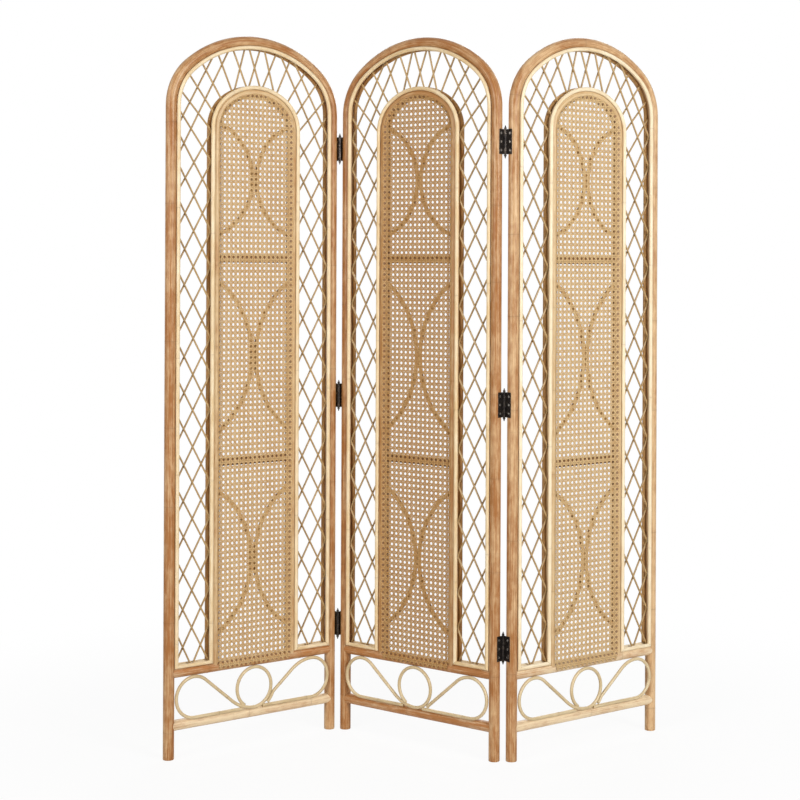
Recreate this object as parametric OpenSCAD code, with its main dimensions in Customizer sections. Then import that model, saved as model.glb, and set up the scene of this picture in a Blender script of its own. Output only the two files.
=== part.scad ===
// Three-panel rattan folding screen, standing in a zigzag.
// Millimetres, +Z up. The origin is on the floor, under the centre of the middle panel.
// In a panel's own frame, X runs along the panel, -Y is its front, and n counts toward the front.

/* [Output] */
// sub-part to draw, or all of them

/* [Stance] */
// angle of each panel to the line of the screen, degrees
stance = 38; // [20:1:60]

/* [Outer frame] */
// spacing of the two legs, centre to centre
leg_span = 482; // [440:1:540]
// radius of the outer pole
outer_r = 14; // [12:0.5:16]
// height where the outer arch springs
outer_spring = 1612; // [1500:1:1700]
// rise of the outer arch's centre line
outer_rise = 174; // [160:1:190]
// bend radius of the outer arch's shoulders
outer_bend = 136; // [120:1:145]

/* [Inner frame] */
// spacing of the inner frame's legs, centre to centre
inner_span = 226; // [200:1:240]
// radius of the inner pole
inner_r = 13; // [11:0.5:14]
// height from the inner arch's springing up to the outer one's
arch_step = 49; // [44:1:60]
// rise of the inner arch's centre line
inner_rise = 92.4; // [86:0.2:98]
// bend radius of the inner arch's shoulders
inner_bend = 81.3; // [74:0.1:84]

/* [Liners] */
// radius of the light liners and sill strips
liner_r = 5; // [4:0.25:5.5]
// offset of the liners from the panel's middle plane
liner_n = 10.8; // [10:0.1:11.5]

/* [Rails] */
// radius of both rails
rail_r = 13.5; // [12:0.25:13.75]
// height of the upper rail's centre
upper_rail_z = 211.5; // [205:0.5:240]
// height of the lower rail's centre
lower_rail_z = 81.5; // [70:0.5:95]
// height of the upper cross bar's centre
upper_bar_z = 1235; // [1200:1:1260]
// height of the lower cross bar's centre
lower_bar_z = 723; // [700:1:760]
// radius of the cross bars
bar_r = 11; // [9:0.25:11]
// the cross bars' offset behind the panel's middle plane
bar_back = 2; // [1.5:0.25:2.5]

/* [Braces] */
// radius of the curved braces
brace_r = 5.5; // [4.5:0.25:5.5]
// the braces' offset in front of the panel's middle plane
brace_n = 2.5; // [1:0.25:2.75]
// height of the lower braces' feet above the upper rail's centre
low_brace_foot = 85.5; // [75:0.5:100]
// drop of the lower braces' heads below the lower cross bar's centre
low_brace_head = 76; // [65:0.5:90]
// height of the middle braces' feet above the lower cross bar's centre
mid_brace_foot = 78.5; // [65:0.5:90]
// drop of the middle braces' heads below the upper cross bar's centre
mid_brace_head = 62.5; // [55:0.5:80]
// height of the upper braces' feet above the upper cross bar's centre
top_brace_foot = 63; // [60:0.5:80]
// height of the upper braces' heads above the inner arch's springing
top_brace_head = 9; // [0:0.5:9]

/* [Webbing] */
// thickness of the cane webbing
web_t = 1; // [0.8:0.1:1.2]
// offset of the webbing's back face
web_n = 9.4; // [9.35:0.05:9.8]
// how far the webbing's lip reaches below the upper rail's top
web_lip = 10.5; // [8:0.25:12]

/* [Lattice] */
// radius of the lattice canes
cane_r = 2.4; // [1.5:0.05:2.45]
// drop from the outer springing to the last turn of a side, before the turns close up
last_turn_drop = 43.3; // [38:0.1:60]
// how much closer each turn comes above the springing
cane_closer = 4; // [2:0.5:5]
// spacing of the outer turns round the arch
outer_turn = 47.3; // [46:0.1:48.5]
// spacing of the inner turns round the arch
inner_turn = 43; // [41:0.5:44]
// length of each turn along its channel
turn_len = 10; // [6:0.5:12]

/* [Scroll] */
// radius of the scroll's cane
scroll_r = 4.5; // [3.5:0.25:4.5]
// offset of the scroll in front of the middle plane
scroll_n = 11.3; // [10.5:0.1:11.3]
// slope of the scroll's two straight runs, degrees
scroll_slope = 40; // [36:0.5:42]

/* [Hinges] */
// drop of the top hinge below the outer springing
hinge_drop = 87; // [60:1:150]
// height of the middle hinge
hinge_mid_z = 877; // [760:1:1000]
// height of the bottom hinge
hinge_low_z = 277; // [260:1:420]
// height of a leaf
leaf_h = 62; // [50:1:80]
// thickness of a leaf
leaf_t = 1.6; // [1.2:0.1:2]
// distance from the pin to the leaf's far edge
leaf_w = 23; // [20.5:0.5:25]
// outer radius of the knuckles
knuckle_r = 4; // [3.6:0.1:4.2]
// radius of the pin
pin_r = 2; // [1.6:0.1:2.4]
// height of a pin's tip beyond its collar
tip_h = 8; // [6:0.5:10]
// radius of a screw's shank
screw_r = 1.5; // [1.2:0.1:1.8]
// radius of a screw's head
head_r = 3.1; // [2.6:0.1:3.4]
// length of a screw
screw_len = 14; // [10:0.5:18]
// distance of the end screws from the middle one
screw_gap = 21; // [16:0.5:24]

/* [Fits] */
// space between two pieces that rest on each other
seat = 0.3; // [0.2:0.05:0.4]
// running clearance of the pin in the knuckles
run = 0.05; // [0.03:0.01:0.1]
// clearance of a screw in its hole
screw_fit = 0.15; // [0.1:0.05:0.2]
// half the space between two leaves that lie face to face
leaf_gap = 0.2; // [0.15:0.05:0.3]

/* [Hidden] */
$fn = 64;
// stretches of one pole overlap by a lap, where the bent one is a hair thinner
lap = 1;
hair = 0.1;
leg_x = leg_span / 2;
inner_x = inner_span / 2;
inner_spring = outer_spring - arch_step;

// arch: the crown's radius follows from the span, the rise and the bend
function crown(a, h, b) = ((a - b) * (a - b) + h * h - b * b) / (2 * (h - b));
outer_crown = crown(leg_x, outer_rise, outer_bend);
inner_crown = crown(inner_x, inner_rise, inner_bend);
outer_crown_z = outer_spring + outer_rise - outer_crown;
inner_crown_z = inner_spring + inner_rise - inner_crown;
outer_half = atan2(leg_x - outer_bend, outer_spring - outer_crown_z);
inner_half = atan2(inner_x - inner_bend, inner_spring - inner_crown_z);

// liners lie against the poles and the rail, one seat away
function beside(r1, r2, n) = sqrt(pow(r1 + r2 + seat, 2) - n * n);
outer_liner_off = -beside(outer_r, liner_r, liner_n);
inner_liner_off = beside(inner_r, liner_r, liner_n);
outer_liner_x = leg_x + outer_liner_off;
inner_liner_x = inner_x + inner_liner_off;
sill_z = upper_rail_z + beside(rail_r, liner_r, liner_n);

// hinge pin, in a panel's frame: clear of the liners in front, and close to the leg's side
pin_x = leg_x + outer_r + seat;
pin_n = liner_n + liner_r + seat;
// the leaves are let into flats on the legs
flat_x = pin_x - leaf_gap - leaf_t - seat;
knuckle_h = leaf_h / 5;
hinge_top_z = outer_spring - hinge_drop;
hinge_zs = [hinge_low_z, hinge_mid_z, hinge_top_z];

// pin of the left joint in the screen's frame, and the left panel's centre
joint_x = -pin_x * cos(stance) - pin_n * sin(stance);
joint_y = pin_x * sin(stance) - pin_n * cos(stance);
panel_x = joint_x - pin_x * cos(stance) - pin_n * sin(stance);
panel_y = joint_y - pin_x * sin(stance) + pin_n * cos(stance);

// lattice: lines that the canes turn on, and the two layers that they lie in
layer = cane_r + seat / 2;
turn_off = seat + 1.2 * cane_r;
outer_off = -(outer_r + turn_off);
inner_off = inner_r + turn_off;
outer_edge = leg_x + outer_off;
inner_edge = inner_x + inner_off;
cane_z = upper_rail_z + rail_r + seat + cane_r;
side_turns = 15;
last_even = side_turns - 2;
cane_pitch = (outer_spring - last_turn_drop - cane_z) / side_turns;

// stretches that the webbing's arched rim is cut in, on each side
web_steps = 24;

// scroll: touches both rails and both legs
scroll_top = upper_rail_z - beside(rail_r, scroll_r, scroll_n);
scroll_low = lower_rail_z + beside(rail_r, scroll_r, scroll_n);
ring_r = (scroll_top - scroll_low) / 2;
ring_z = (scroll_top + scroll_low) / 2;
loop_x = leg_x - beside(outer_r, scroll_r, scroll_n) - ring_r;
loop_c = ring_r + ring_z * cos(scroll_slope) - loop_x * sin(scroll_slope);
sweep_r = (scroll_low * cos(scroll_slope) - loop_c) / (1 - cos(scroll_slope));
sweep_z = scroll_low + sweep_r;
side_by_side = 2 * scroll_r + seat;
ring_end = acos((pow(sweep_r - side_by_side, 2) - pow(ring_r, 2) - pow(sweep_r - ring_r, 2))
    / (2 * ring_r * (sweep_r - ring_r)));
sweep_end = acos((pow(sweep_r, 2) + pow(sweep_r - ring_r, 2) - pow(ring_r + side_by_side, 2))
    / (2 * sweep_r * (sweep_r - ring_r)));
left_strand_x = sqrt(pow(sweep_r, 2) - pow(sweep_r - side_by_side, 2)) + 1;
right_strand_x = sqrt(pow(ring_r + side_by_side, 2) - pow(ring_r, 2)) + 1;

// places a panel's frame in the screen
module left_place() {
    translate([panel_x, panel_y, 0]) rotate([0, 0, stance]) children();
}

module mid_place() {
    rotate([0, 0, -stance]) children();
}

module right_place() {
    translate([-panel_x, -panel_y, 0]) rotate([0, 0, stance]) children();
}

// straight round bar between two points of a panel's plane
module bar(u0, z0, u1, z1, r, n) {
    translate([u0, -n, z0])
        rotate([0, atan2(u1 - u0, z1 - z0), 0])
            cylinder(r = r, h = sqrt(pow(u1 - u0, 2) + pow(z1 - z0, 2)));
}

// round bar bent to an arc of a panel's plane
module bend(cu, cz, radius, from, turn, r, n) {
    translate([cu, -n, cz]) rotate([90, 0, 0]) rotate([0, 0, from])
        rotate_extrude(angle = turn) translate([radius, 0]) circle(r = r);
}

// pole bent to an arch: two legs, two shoulders and a crown, each let into the next one
module arch(a, spring, b, crown_r, crown_z, half, off, r, n, base) {
    for (s = [-1, 1]) {
        translate([s * (a + off), -n, base]) cylinder(r = r, h = spring - base + lap);
    }
    over = lap / (crown_r + off) * 180 / PI;
    bend(a - b, spring, b + off, 0, 90 - half, r - hair, n);
    bend(b - a, spring, b + off, 90 + half, 90 - half, r - hair, n);
    bend(0, crown_z, crown_r + off, 90 - half - over, 2 * (half + over), r, n);
}

module outer_arch(off, r, n, base) {
    arch(leg_x, outer_spring, outer_bend, outer_crown, outer_crown_z, outer_half, off, r, n, base);
}

module inner_arch(off, r, n, base) {
    arch(inner_x, inner_spring, inner_bend, inner_crown, inner_crown_z, inner_half, off, r, n, base);
}

// cutter on one side of the line that a liner and a sill strip are mitred on
module mitre(u, angle, side) {
    translate([u, 0, sill_z]) rotate([0, angle, 0])
        translate([side > 0 ? -seat / 2 : seat / 2 - 30, -2 * liner_n, -30]) cube([30, 4 * liner_n, 60]);
}

// flats that a leg's three leaves are let into
module leaf_flats(side) {
    for (z = hinge_zs) {
        translate([side > 0 ? flat_x : -flat_x - outer_r, -2 * outer_r, z - leaf_h / 2 - seat])
            cube([outer_r, 4 * outer_r, leaf_h + 2 * seat]);
    }
}

module outer_frame(left_hinges, right_hinges) {
    difference() {
        outer_arch(0, outer_r, 0, 0);
        if (left_hinges) leaf_flats(-1);
        if (right_hinges) leaf_flats(1);
        for (z = hinge_zs) {
            if (left_hinges) {
                for (k = [-1, 0, 1]) {
                    translate([-leg_x - outer_r - 1, 0, z + k * screw_gap]) rotate([0, 90, 0])
                        cylinder(r = screw_r + screw_fit, h = screw_len + 1);
                }
            }
            if (right_hinges) {
                for (k = [-1, 0, 1]) {
                    translate([leg_x + outer_r + 1, 0, z + k * screw_gap]) rotate([0, -90, 0])
                        cylinder(r = screw_r + screw_fit, h = screw_len + 1);
                }
            }
        }
    }
}

module outer_liner(n) {
    difference() {
        outer_arch(outer_liner_off, liner_r, n, sill_z - 2 * liner_r);
        mitre(outer_liner_x, -45, -1);
        mitre(-outer_liner_x, -135, -1);
    }
}

module inner_frame() {
    difference() {
        inner_arch(0, inner_r, 0, upper_rail_z);
        translate([-leg_x, 0, upper_rail_z]) rotate([0, 90, 0]) cylinder(r = rail_r + seat, h = leg_span);
    }
}

module inner_liner(n) {
    difference() {
        inner_arch(inner_liner_off, liner_r, n, sill_z - 2 * liner_r);
        mitre(inner_liner_x, -135, -1);
        mitre(-inner_liner_x, -45, -1);
    }
}

// rail with both ends coped to the legs
module rail(z) {
    difference() {
        bar(-leg_x, z, leg_x, z, rail_r, 0);
        for (s = [-1, 1]) {
            translate([s * leg_x, 0, z - 2 * rail_r]) cylinder(r = outer_r + seat, h = 4 * rail_r);
        }
    }
}

module sill_strips() {
    for (s = [-1, 1], n = [-liner_n, liner_n]) {
        difference() {
            bar(s * (inner_liner_x - 2 * liner_r), sill_z, s * (outer_liner_x + 2 * liner_r), sill_z, liner_r, n);
            mitre(s * outer_liner_x, s > 0 ? -45 : -135, 1);
            mitre(s * inner_liner_x, s > 0 ? -135 : -45, 1);
        }
    }
}

module cross_bars() {
    for (z = [lower_bar_z, upper_bar_z]) {
        difference() {
            bar(-inner_x, z, inner_x, z, bar_r, -bar_back);
            for (s = [-1, 1]) {
                translate([s * inner_x, 0, z - 2 * bar_r]) cylinder(r = inner_r + seat, h = 4 * bar_r);
            }
        }
    }
}

// pair of bent rods, back to back
module brace_pair(foot, head) {
    z = (foot + head) / 2;
    half = (head - foot) / 2;
    near = brace_r + seat / 2;
    sag = inner_x - inner_r - near;
    radius = (half * half + sag * sag) / (2 * sag);
    turn = acos((near + radius - inner_x + 3) / radius);
    bend(near + radius, z, radius, 180 - turn, 2 * turn, brace_r, brace_n);
    bend(-near - radius, z, radius, -turn, 2 * turn, brace_r, brace_n);
}

module braces() {
    spare = 2;
    difference() {
        union() {
            brace_pair(upper_rail_z + low_brace_foot, lower_bar_z - low_brace_head);
            brace_pair(lower_bar_z + mid_brace_foot, upper_bar_z - mid_brace_head);
            brace_pair(upper_bar_z + top_brace_foot, inner_spring + top_brace_head);
        }
        for (s = [-1, 1]) {
            translate([s * inner_x, 0, upper_rail_z])
                cylinder(r = inner_r + seat, h = inner_spring - upper_rail_z - 1);
            bend(s * (inner_x - inner_bend), inner_spring, inner_bend,
                s > 0 ? -spare : 90 + inner_half, 90 + spare - inner_half, inner_r + seat, 0);
        }
    }
}

// cane webbing: a sheet let in at the front of the inner frame, with a lip over the upper rail
module webbing() {
    off = -sqrt(inner_r * inner_r - web_n * web_n) - seat;
    edge = inner_x + off;
    base = upper_rail_z + sqrt(pow(rail_r + seat, 2) - web_n * web_n) + 0.2;
    lip_r = rail_r + seat + web_t;
    rim = (inner_crown + off) * inner_half * PI / 180 + (inner_bend + off) * (90 - inner_half) * PI / 180;
    translate([0, -web_n, 0]) rotate([90, 0, 0]) linear_extrude(web_t) polygon(concat(
        [[-edge, base]],
        [for (i = [-web_steps:web_steps])
            arch_at(i / web_steps * rim, inner_x, inner_spring, inner_bend,
                inner_crown, inner_crown_z, inner_half, off)],
        [[edge, base]]
    ));
    intersection() {
        translate([-edge, 0, upper_rail_z]) rotate([0, 90, 0]) difference() {
            cylinder(r = lip_r, h = 2 * edge);
            translate([0, 0, -1]) cylinder(r = rail_r + seat, h = 2 * edge + 2);
        }
        translate([-edge, -lip_r - 1, upper_rail_z + rail_r - web_lip])
            cube([2 * edge, lip_r + 1 - web_n, base + 0.5 - upper_rail_z - rail_r + web_lip]);
    }
}

// a point of the line that canes turn on: t runs from the crown's middle, to the right
function arch_at(t, a, spring, b, crown_r, crown_z, half, off) =
    let (s = abs(t), flip = t < 0 ? -1 : 1,
        top = (crown_r + off) * half * PI / 180,
        side = (b + off) * (90 - half) * PI / 180)
    s < top
        ? let (g = s / (crown_r + off) * 180 / PI)
            [flip * (crown_r + off) * sin(g), crown_z + (crown_r + off) * cos(g)]
        : s < top + side
            ? let (g = 90 - half - (s - top) / (b + off) * 180 / PI)
                [flip * (a - b + (b + off) * cos(g)), spring + (b + off) * sin(g)]
            : [flip * (a + off), spring - (s - top - side)];

function outer_at(k) =
    arch_at(k * outer_turn, leg_x, outer_spring, outer_bend, outer_crown, outer_crown_z, outer_half, outer_off);

function inner_at(k) =
    arch_at(k * inner_turn, inner_x, inner_spring, inner_bend, inner_crown, inner_crown_z, inner_half, inner_off);

// height of the turns along a side, which close up above the springing
function turn_z(k) = cane_z + cane_pitch * k - cane_closer * pow(max(0, k - last_even), 2);

// turns of a cane that starts on turn k0 of one side, and takes every second turn up to k1
function climb(s, k0, k1, outward) =
    [for (k = [k0:2:k1]) [s * (((k - k0) % 4 == 0) == outward ? outer_edge : inner_edge), turn_z(k)]];

function backwards(p) = [for (i = [len(p) - 1:-1:0]) p[i]];

// the long cane: up the left side, over the crown, down the right side, and up it again
long_cane = concat(
    climb(-1, 0, side_turns - 1, false),
    [outer_at(-1.5), inner_at(-0.5), outer_at(0.5), inner_at(1.5), outer_at(2.5)],
    backwards(climb(1, 1, side_turns, false)),
    [[(outer_edge + inner_edge) / 2, cane_z]],
    climb(1, 1, side_turns, true),
    [outer_at(5.5)]
);
side_cane = concat(climb(1, 0, side_turns - 1, true), [outer_at(6.5)]);

function flipped(p) = [for (q = p) [-q[0], q[1]]];
function unit(v) = v / norm(v);

// falling runs lie in the front layer, and rising runs in the back one
function layer_of(p, q) = (q[0] - p[0]) * (q[1] - p[1]) < 0 ? -layer : layer;
function put(q, y) = [q[0], y, q[1]];

// a turn takes two points, one in the layer of each run
function corners(p) = let (last = len(p) - 1) [
    for (i = [0:last]) each
        i == 0 ? [put(p[0], layer_of(p[0], p[1]))]
        : i == last ? [put(p[last], layer_of(p[last - 1], p[last]))]
        : let (t = unit(unit(p[i] - p[i - 1]) + unit(p[i + 1] - p[i])) * turn_len / 2)
            [put(p[i] - t, layer_of(p[i - 1], p[i])), put(p[i] + t, layer_of(p[i], p[i + 1]))]
];

// six points round the cane's start, carried along each run to the mitre at its end
function first_ring(v) = let (d = unit(v[1] - v[0]), a = unit(cross(d, [0, 1, 0])))
    [for (j = [0:5]) v[0] + cane_r * (cos(60 * j) * a + sin(60 * j) * [0, 1, 0])];
function mitre_at(v, i) = i == len(v) - 1
    ? unit(v[i] - v[i - 1])
    : unit(unit(v[i] - v[i - 1]) + unit(v[i + 1] - v[i]));
function carry(v, i, ring) = let (d = unit(v[i] - v[i - 1]), m = mitre_at(v, i))
    [for (q = ring) q + d * (((v[i] - q) * m) / (d * m))];
function rings(v) = [
    for (i = 0, ring = first_ring(v); i < len(v);
        i = i + 1, ring = i < len(v) ? carry(v, i, ring) : ring) each ring
];

module cane(p) {
    v = corners(p);
    last = len(v) - 1;
    polyhedron(
        points = rings(v),
        faces = concat(
            [[5, 4, 3, 2, 1, 0]],
            [for (i = [0:last - 1], j = [0:5])
                [6 * i + j, 6 * i + (j + 1) % 6, 6 * i + 6 + (j + 1) % 6, 6 * i + 6 + j]],
            [[for (j = [0:5]) 6 * last + j]]
        )
    );
}

module lattice() {
    cane(long_cane);
    cane(flipped(long_cane));
    cane(side_cane);
    cane(flipped(side_cane));
    for (k = [3.5, 4.5], s = [-1, 1]) {
        cane([outer_at(s * k), inner_at(s * (k - 1))]);
    }
}

// scroll: the left cane makes a loop and the ring, and the right cane makes a loop
module scroll() {
    over = lap / ring_r * 180 / PI;
    thin = scroll_r - hair;
    run_u = lap * cos(scroll_slope);
    run_z = lap * sin(scroll_slope);
    bend(0, ring_z, ring_r, -90 - over, 360 - ring_end + over, scroll_r, scroll_n);
    bend(0, sweep_z, sweep_r, 270 - scroll_slope, scroll_slope, thin, scroll_n);
    bend(0, sweep_z, sweep_r, 270 + sweep_end, scroll_slope - sweep_end, thin, scroll_n);
    bend(-loop_x, ring_z, ring_r, 90 - scroll_slope, 180 + scroll_slope, thin, scroll_n);
    bend(loop_x, ring_z, ring_r, -90, 180 + scroll_slope, thin, scroll_n);
    for (s = [-1, 1]) {
        bar(s * (sweep_r * sin(scroll_slope) - run_u), sweep_z - sweep_r * cos(scroll_slope) - run_z,
            s * (loop_x - ring_r * sin(scroll_slope) + run_u), ring_z + ring_r * cos(scroll_slope) + run_z,
            scroll_r, scroll_n);
        bar(s * (s > 0 ? right_strand_x : left_strand_x), scroll_low, s * (loop_x + lap), scroll_low,
            scroll_r, scroll_n);
    }
}

// hinge parts, round the pin's axis, for a panel on its +X side
module leaf_shape(knuckles) {
    reach = knuckle_r + seat;
    difference() {
        union() {
            translate([leaf_gap, reach, -leaf_h / 2]) cube([leaf_t, leaf_w - reach, leaf_h]);
            for (k = knuckles) {
                translate([0, 0, k * knuckle_h - knuckle_h / 2 + seat / 2]) {
                    cylinder(r = knuckle_r, h = knuckle_h - seat);
                    translate([leaf_gap, 0, 0]) cube([leaf_t, reach + 1, knuckle_h - seat]);
                }
            }
        }
        translate([0, 0, -leaf_h]) cylinder(r = pin_r + run, h = 2 * leaf_h);
        for (k = [-1, 0, 1]) {
            translate([leaf_gap - 0.01, pin_n, k * screw_gap]) rotate([0, 90, 0])
                cylinder(r1 = head_r + screw_fit, r2 = screw_r + screw_fit, h = leaf_t + 0.02);
        }
    }
}

module screw_shape() {
    rotate([0, 90, 0]) {
        translate([0, 0, leaf_gap + 0.05]) cylinder(r1 = head_r, r2 = screw_r, h = leaf_t - 0.05);
        translate([0, 0, leaf_gap + leaf_t]) cylinder(r = screw_r, h = screw_len - leaf_t - 1);
    }
}

module pin_shape() {
    collar = leaf_h / 2 + seat;
    rotate_extrude() polygon([
        [0, -collar - tip_h - 2], [0.8, -collar - tip_h - 1.2], [pin_r + 0.2, -collar - 4.5],
        [pin_r + 1.4, -collar - 3], [pin_r + 1.4, -collar - 1], [pin_r + 0.6, -collar],
        [pin_r, -collar], [pin_r, collar], [pin_r + 0.6, collar],
        [pin_r + 1.4, collar + 1], [pin_r + 1.4, collar + 3], [pin_r + 0.2, collar + 4.5],
        [0.8, collar + tip_h + 1.2], [0, collar + tip_h + 2]
    ]);
}

module leaf_a(z) {
    translate([0, 0, z]) leaf_shape([-2, 0, 2]);
}

module leaf_b(z) {
    translate([0, 0, z]) mirror([1, 0, 0]) leaf_shape([-1, 1]);
}

module screws_a() {
    for (z = hinge_zs, k = [-1, 0, 1]) {
        translate([0, pin_n, z + k * screw_gap]) screw_shape();
    }
}

module screws_b() {
    mirror([1, 0, 0]) screws_a();
}

module pins() {
    for (z = hinge_zs) {
        translate([0, 0, z]) pin_shape();
    }
}

// places the hinge parts of the two joints: on the left they face the front, on the right the back
module left_joint_mid() {
    translate([joint_x, joint_y, 0]) rotate([0, 0, -stance]) children();
}

module left_joint_end() {
    translate([joint_x, joint_y, 0]) rotate([0, 0, stance]) children();
}

module right_joint_mid() {
    rotate([0, 0, 180]) left_joint_mid() children();
}

module right_joint_end() {
    rotate([0, 0, 180]) left_joint_end() children();
}

dark_cane = [0.72, 0.47, 0.24];
light_cane = [0.90, 0.76, 0.53];
web_cane = [0.82, 0.63, 0.36];
bronze = [0.20, 0.15, 0.11];
steel = [0.75, 0.72, 0.66];

module left_outer_frame() { color(dark_cane) left_place() outer_frame(false, true); }
module left_outer_liner_front() { color(light_cane) left_place() outer_liner(liner_n); }
module left_outer_liner_back() { color(light_cane) left_place() outer_liner(-liner_n); }
module left_inner_frame() { color(dark_cane) left_place() inner_frame(); }
module left_inner_liner_front() { color(light_cane) left_place() inner_liner(liner_n); }
module left_inner_liner_back() { color(light_cane) left_place() inner_liner(-liner_n); }
module left_upper_rail() { color(dark_cane) left_place() rail(upper_rail_z); }
module left_lower_rail() { color(dark_cane) left_place() rail(lower_rail_z); }
module left_sill_strips() { color(light_cane) left_place() sill_strips(); }
module left_lattice() { color(light_cane) left_place() lattice(); }
module left_webbing() { color(web_cane) left_place() webbing(); }
module left_cross_bars() { color(dark_cane) left_place() cross_bars(); }
module left_braces() { color(dark_cane) left_place() braces(); }
module left_scroll() { color(light_cane) left_place() scroll(); }

module mid_outer_frame() { color(dark_cane) mid_place() outer_frame(true, true); }
module mid_outer_liner_front() { color(light_cane) mid_place() outer_liner(liner_n); }
module mid_outer_liner_back() { color(light_cane) mid_place() outer_liner(-liner_n); }
module mid_inner_frame() { color(dark_cane) mid_place() inner_frame(); }
module mid_inner_liner_front() { color(light_cane) mid_place() inner_liner(liner_n); }
module mid_inner_liner_back() { color(light_cane) mid_place() inner_liner(-liner_n); }
module mid_upper_rail() { color(dark_cane) mid_place() rail(upper_rail_z); }
module mid_lower_rail() { color(dark_cane) mid_place() rail(lower_rail_z); }
module mid_sill_strips() { color(light_cane) mid_place() sill_strips(); }
module mid_lattice() { color(light_cane) mid_place() lattice(); }
module mid_webbing() { color(web_cane) mid_place() webbing(); }
module mid_cross_bars() { color(dark_cane) mid_place() cross_bars(); }
module mid_braces() { color(dark_cane) mid_place() braces(); }
module mid_scroll() { color(light_cane) mid_place() scroll(); }

module right_outer_frame() { color(dark_cane) right_place() outer_frame(true, false); }
module right_outer_liner_front() { color(light_cane) right_place() outer_liner(liner_n); }
module right_outer_liner_back() { color(light_cane) right_place() outer_liner(-liner_n); }
module right_inner_frame() { color(dark_cane) right_place() inner_frame(); }
module right_inner_liner_front() { color(light_cane) right_place() inner_liner(liner_n); }
module right_inner_liner_back() { color(light_cane) right_place() inner_liner(-liner_n); }
module right_upper_rail() { color(dark_cane) right_place() rail(upper_rail_z); }
module right_lower_rail() { color(dark_cane) right_place() rail(lower_rail_z); }
module right_sill_strips() { color(light_cane) right_place() sill_strips(); }
module right_lattice() { color(light_cane) right_place() lattice(); }
module right_webbing() { color(web_cane) right_place() webbing(); }
module right_cross_bars() { color(dark_cane) right_place() cross_bars(); }
module right_braces() { color(dark_cane) right_place() braces(); }
module right_scroll() { color(light_cane) right_place() scroll(); }

module left_leaf_low() { color(bronze) left_joint_end() leaf_b(hinge_low_z); }
module left_leaf_mid() { color(bronze) left_joint_end() leaf_b(hinge_mid_z); }
module left_leaf_top() { color(bronze) left_joint_end() leaf_b(hinge_top_z); }
module left_screws() { color(steel) left_joint_end() screws_b(); }
module mid_left_leaf_low() { color(bronze) left_joint_mid() leaf_a(hinge_low_z); }
module mid_left_leaf_mid() { color(bronze) left_joint_mid() leaf_a(hinge_mid_z); }
module mid_left_leaf_top() { color(bronze) left_joint_mid() leaf_a(hinge_top_z); }
module mid_left_screws() { color(steel) left_joint_mid() screws_a(); }
module left_pins() { color(bronze) left_joint_mid() pins(); }
module mid_right_leaf_low() { color(bronze) right_joint_mid() leaf_a(hinge_low_z); }
module mid_right_leaf_mid() { color(bronze) right_joint_mid() leaf_a(hinge_mid_z); }
module mid_right_leaf_top() { color(bronze) right_joint_mid() leaf_a(hinge_top_z); }
module mid_right_screws() { color(steel) right_joint_mid() screws_a(); }
module right_pins() { color(bronze) right_joint_mid() pins(); }
module right_leaf_low() { color(bronze) right_joint_end() leaf_b(hinge_low_z); }
module right_leaf_mid() { color(bronze) right_joint_end() leaf_b(hinge_mid_z); }
module right_leaf_top() { color(bronze) right_joint_end() leaf_b(hinge_top_z); }
module right_screws() { color(steel) right_joint_end() screws_b(); }

left_outer_frame();
left_outer_liner_front();
left_outer_liner_back();
left_inner_frame();
left_inner_liner_front();
left_inner_liner_back();
left_upper_rail();
left_lower_rail();
left_sill_strips();
left_lattice();
left_webbing();
left_cross_bars();
left_braces();
left_scroll();
mid_outer_frame();
mid_outer_liner_front();
mid_outer_liner_back();
mid_inner_frame();
mid_inner_liner_front();
mid_inner_liner_back();
mid_upper_rail();
mid_lower_rail();
mid_sill_strips();
mid_lattice();
mid_webbing();
mid_cross_bars();
mid_braces();
mid_scroll();
right_outer_frame();
right_outer_liner_front();
right_outer_liner_back();
right_inner_frame();
right_inner_liner_front();
right_inner_liner_back();
right_upper_rail();
right_lower_rail();
right_sill_strips();
right_lattice();
right_webbing();
right_cross_bars();
right_braces();
right_scroll();
left_leaf_low();
left_leaf_mid();
left_leaf_top();
left_screws();
mid_left_leaf_low();
mid_left_leaf_mid();
mid_left_leaf_top();
mid_left_screws();
left_pins();
mid_right_leaf_low();
mid_right_leaf_mid();
mid_right_leaf_top();
mid_right_screws();
right_pins();
right_leaf_low();
right_leaf_mid();
right_leaf_top();
right_screws();
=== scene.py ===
"""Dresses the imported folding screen: poles, rails, liners, lattice canes, webbing, scrolls and hinges."""
import math

import bpy
import numpy as np
from bpy.props import FloatProperty, FloatVectorProperty, IntProperty, PointerProperty
from mathutils import Matrix


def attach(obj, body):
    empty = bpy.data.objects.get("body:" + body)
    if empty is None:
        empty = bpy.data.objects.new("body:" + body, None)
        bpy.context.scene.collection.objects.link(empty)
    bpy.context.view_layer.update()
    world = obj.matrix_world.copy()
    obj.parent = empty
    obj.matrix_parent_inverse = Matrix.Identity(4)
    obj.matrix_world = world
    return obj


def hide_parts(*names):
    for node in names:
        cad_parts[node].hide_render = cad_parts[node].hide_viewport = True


bl_info = {
    "name": "Rattan Folding Screen",
    "version": (1, 0, 0),
    "blender": (4, 5, 0),
    "location": "3D View > Sidebar > Screen",
    "description": "Canes, webbing, hinges and studio for a three-panel rattan screen",
    "category": "Object",
}

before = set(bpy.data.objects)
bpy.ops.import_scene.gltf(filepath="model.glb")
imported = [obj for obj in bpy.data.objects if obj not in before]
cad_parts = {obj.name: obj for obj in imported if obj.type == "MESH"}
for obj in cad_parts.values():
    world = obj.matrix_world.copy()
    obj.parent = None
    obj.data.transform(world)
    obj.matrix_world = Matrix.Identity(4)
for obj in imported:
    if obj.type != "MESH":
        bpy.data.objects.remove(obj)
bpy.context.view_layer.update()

# Each panel's body, place in the row and sense of turn.
PANELS = {"left": ("left_panel", -1, 1), "mid": ("middle_panel", 0, -1), "right": ("right_panel", 1, 1)}

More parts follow.
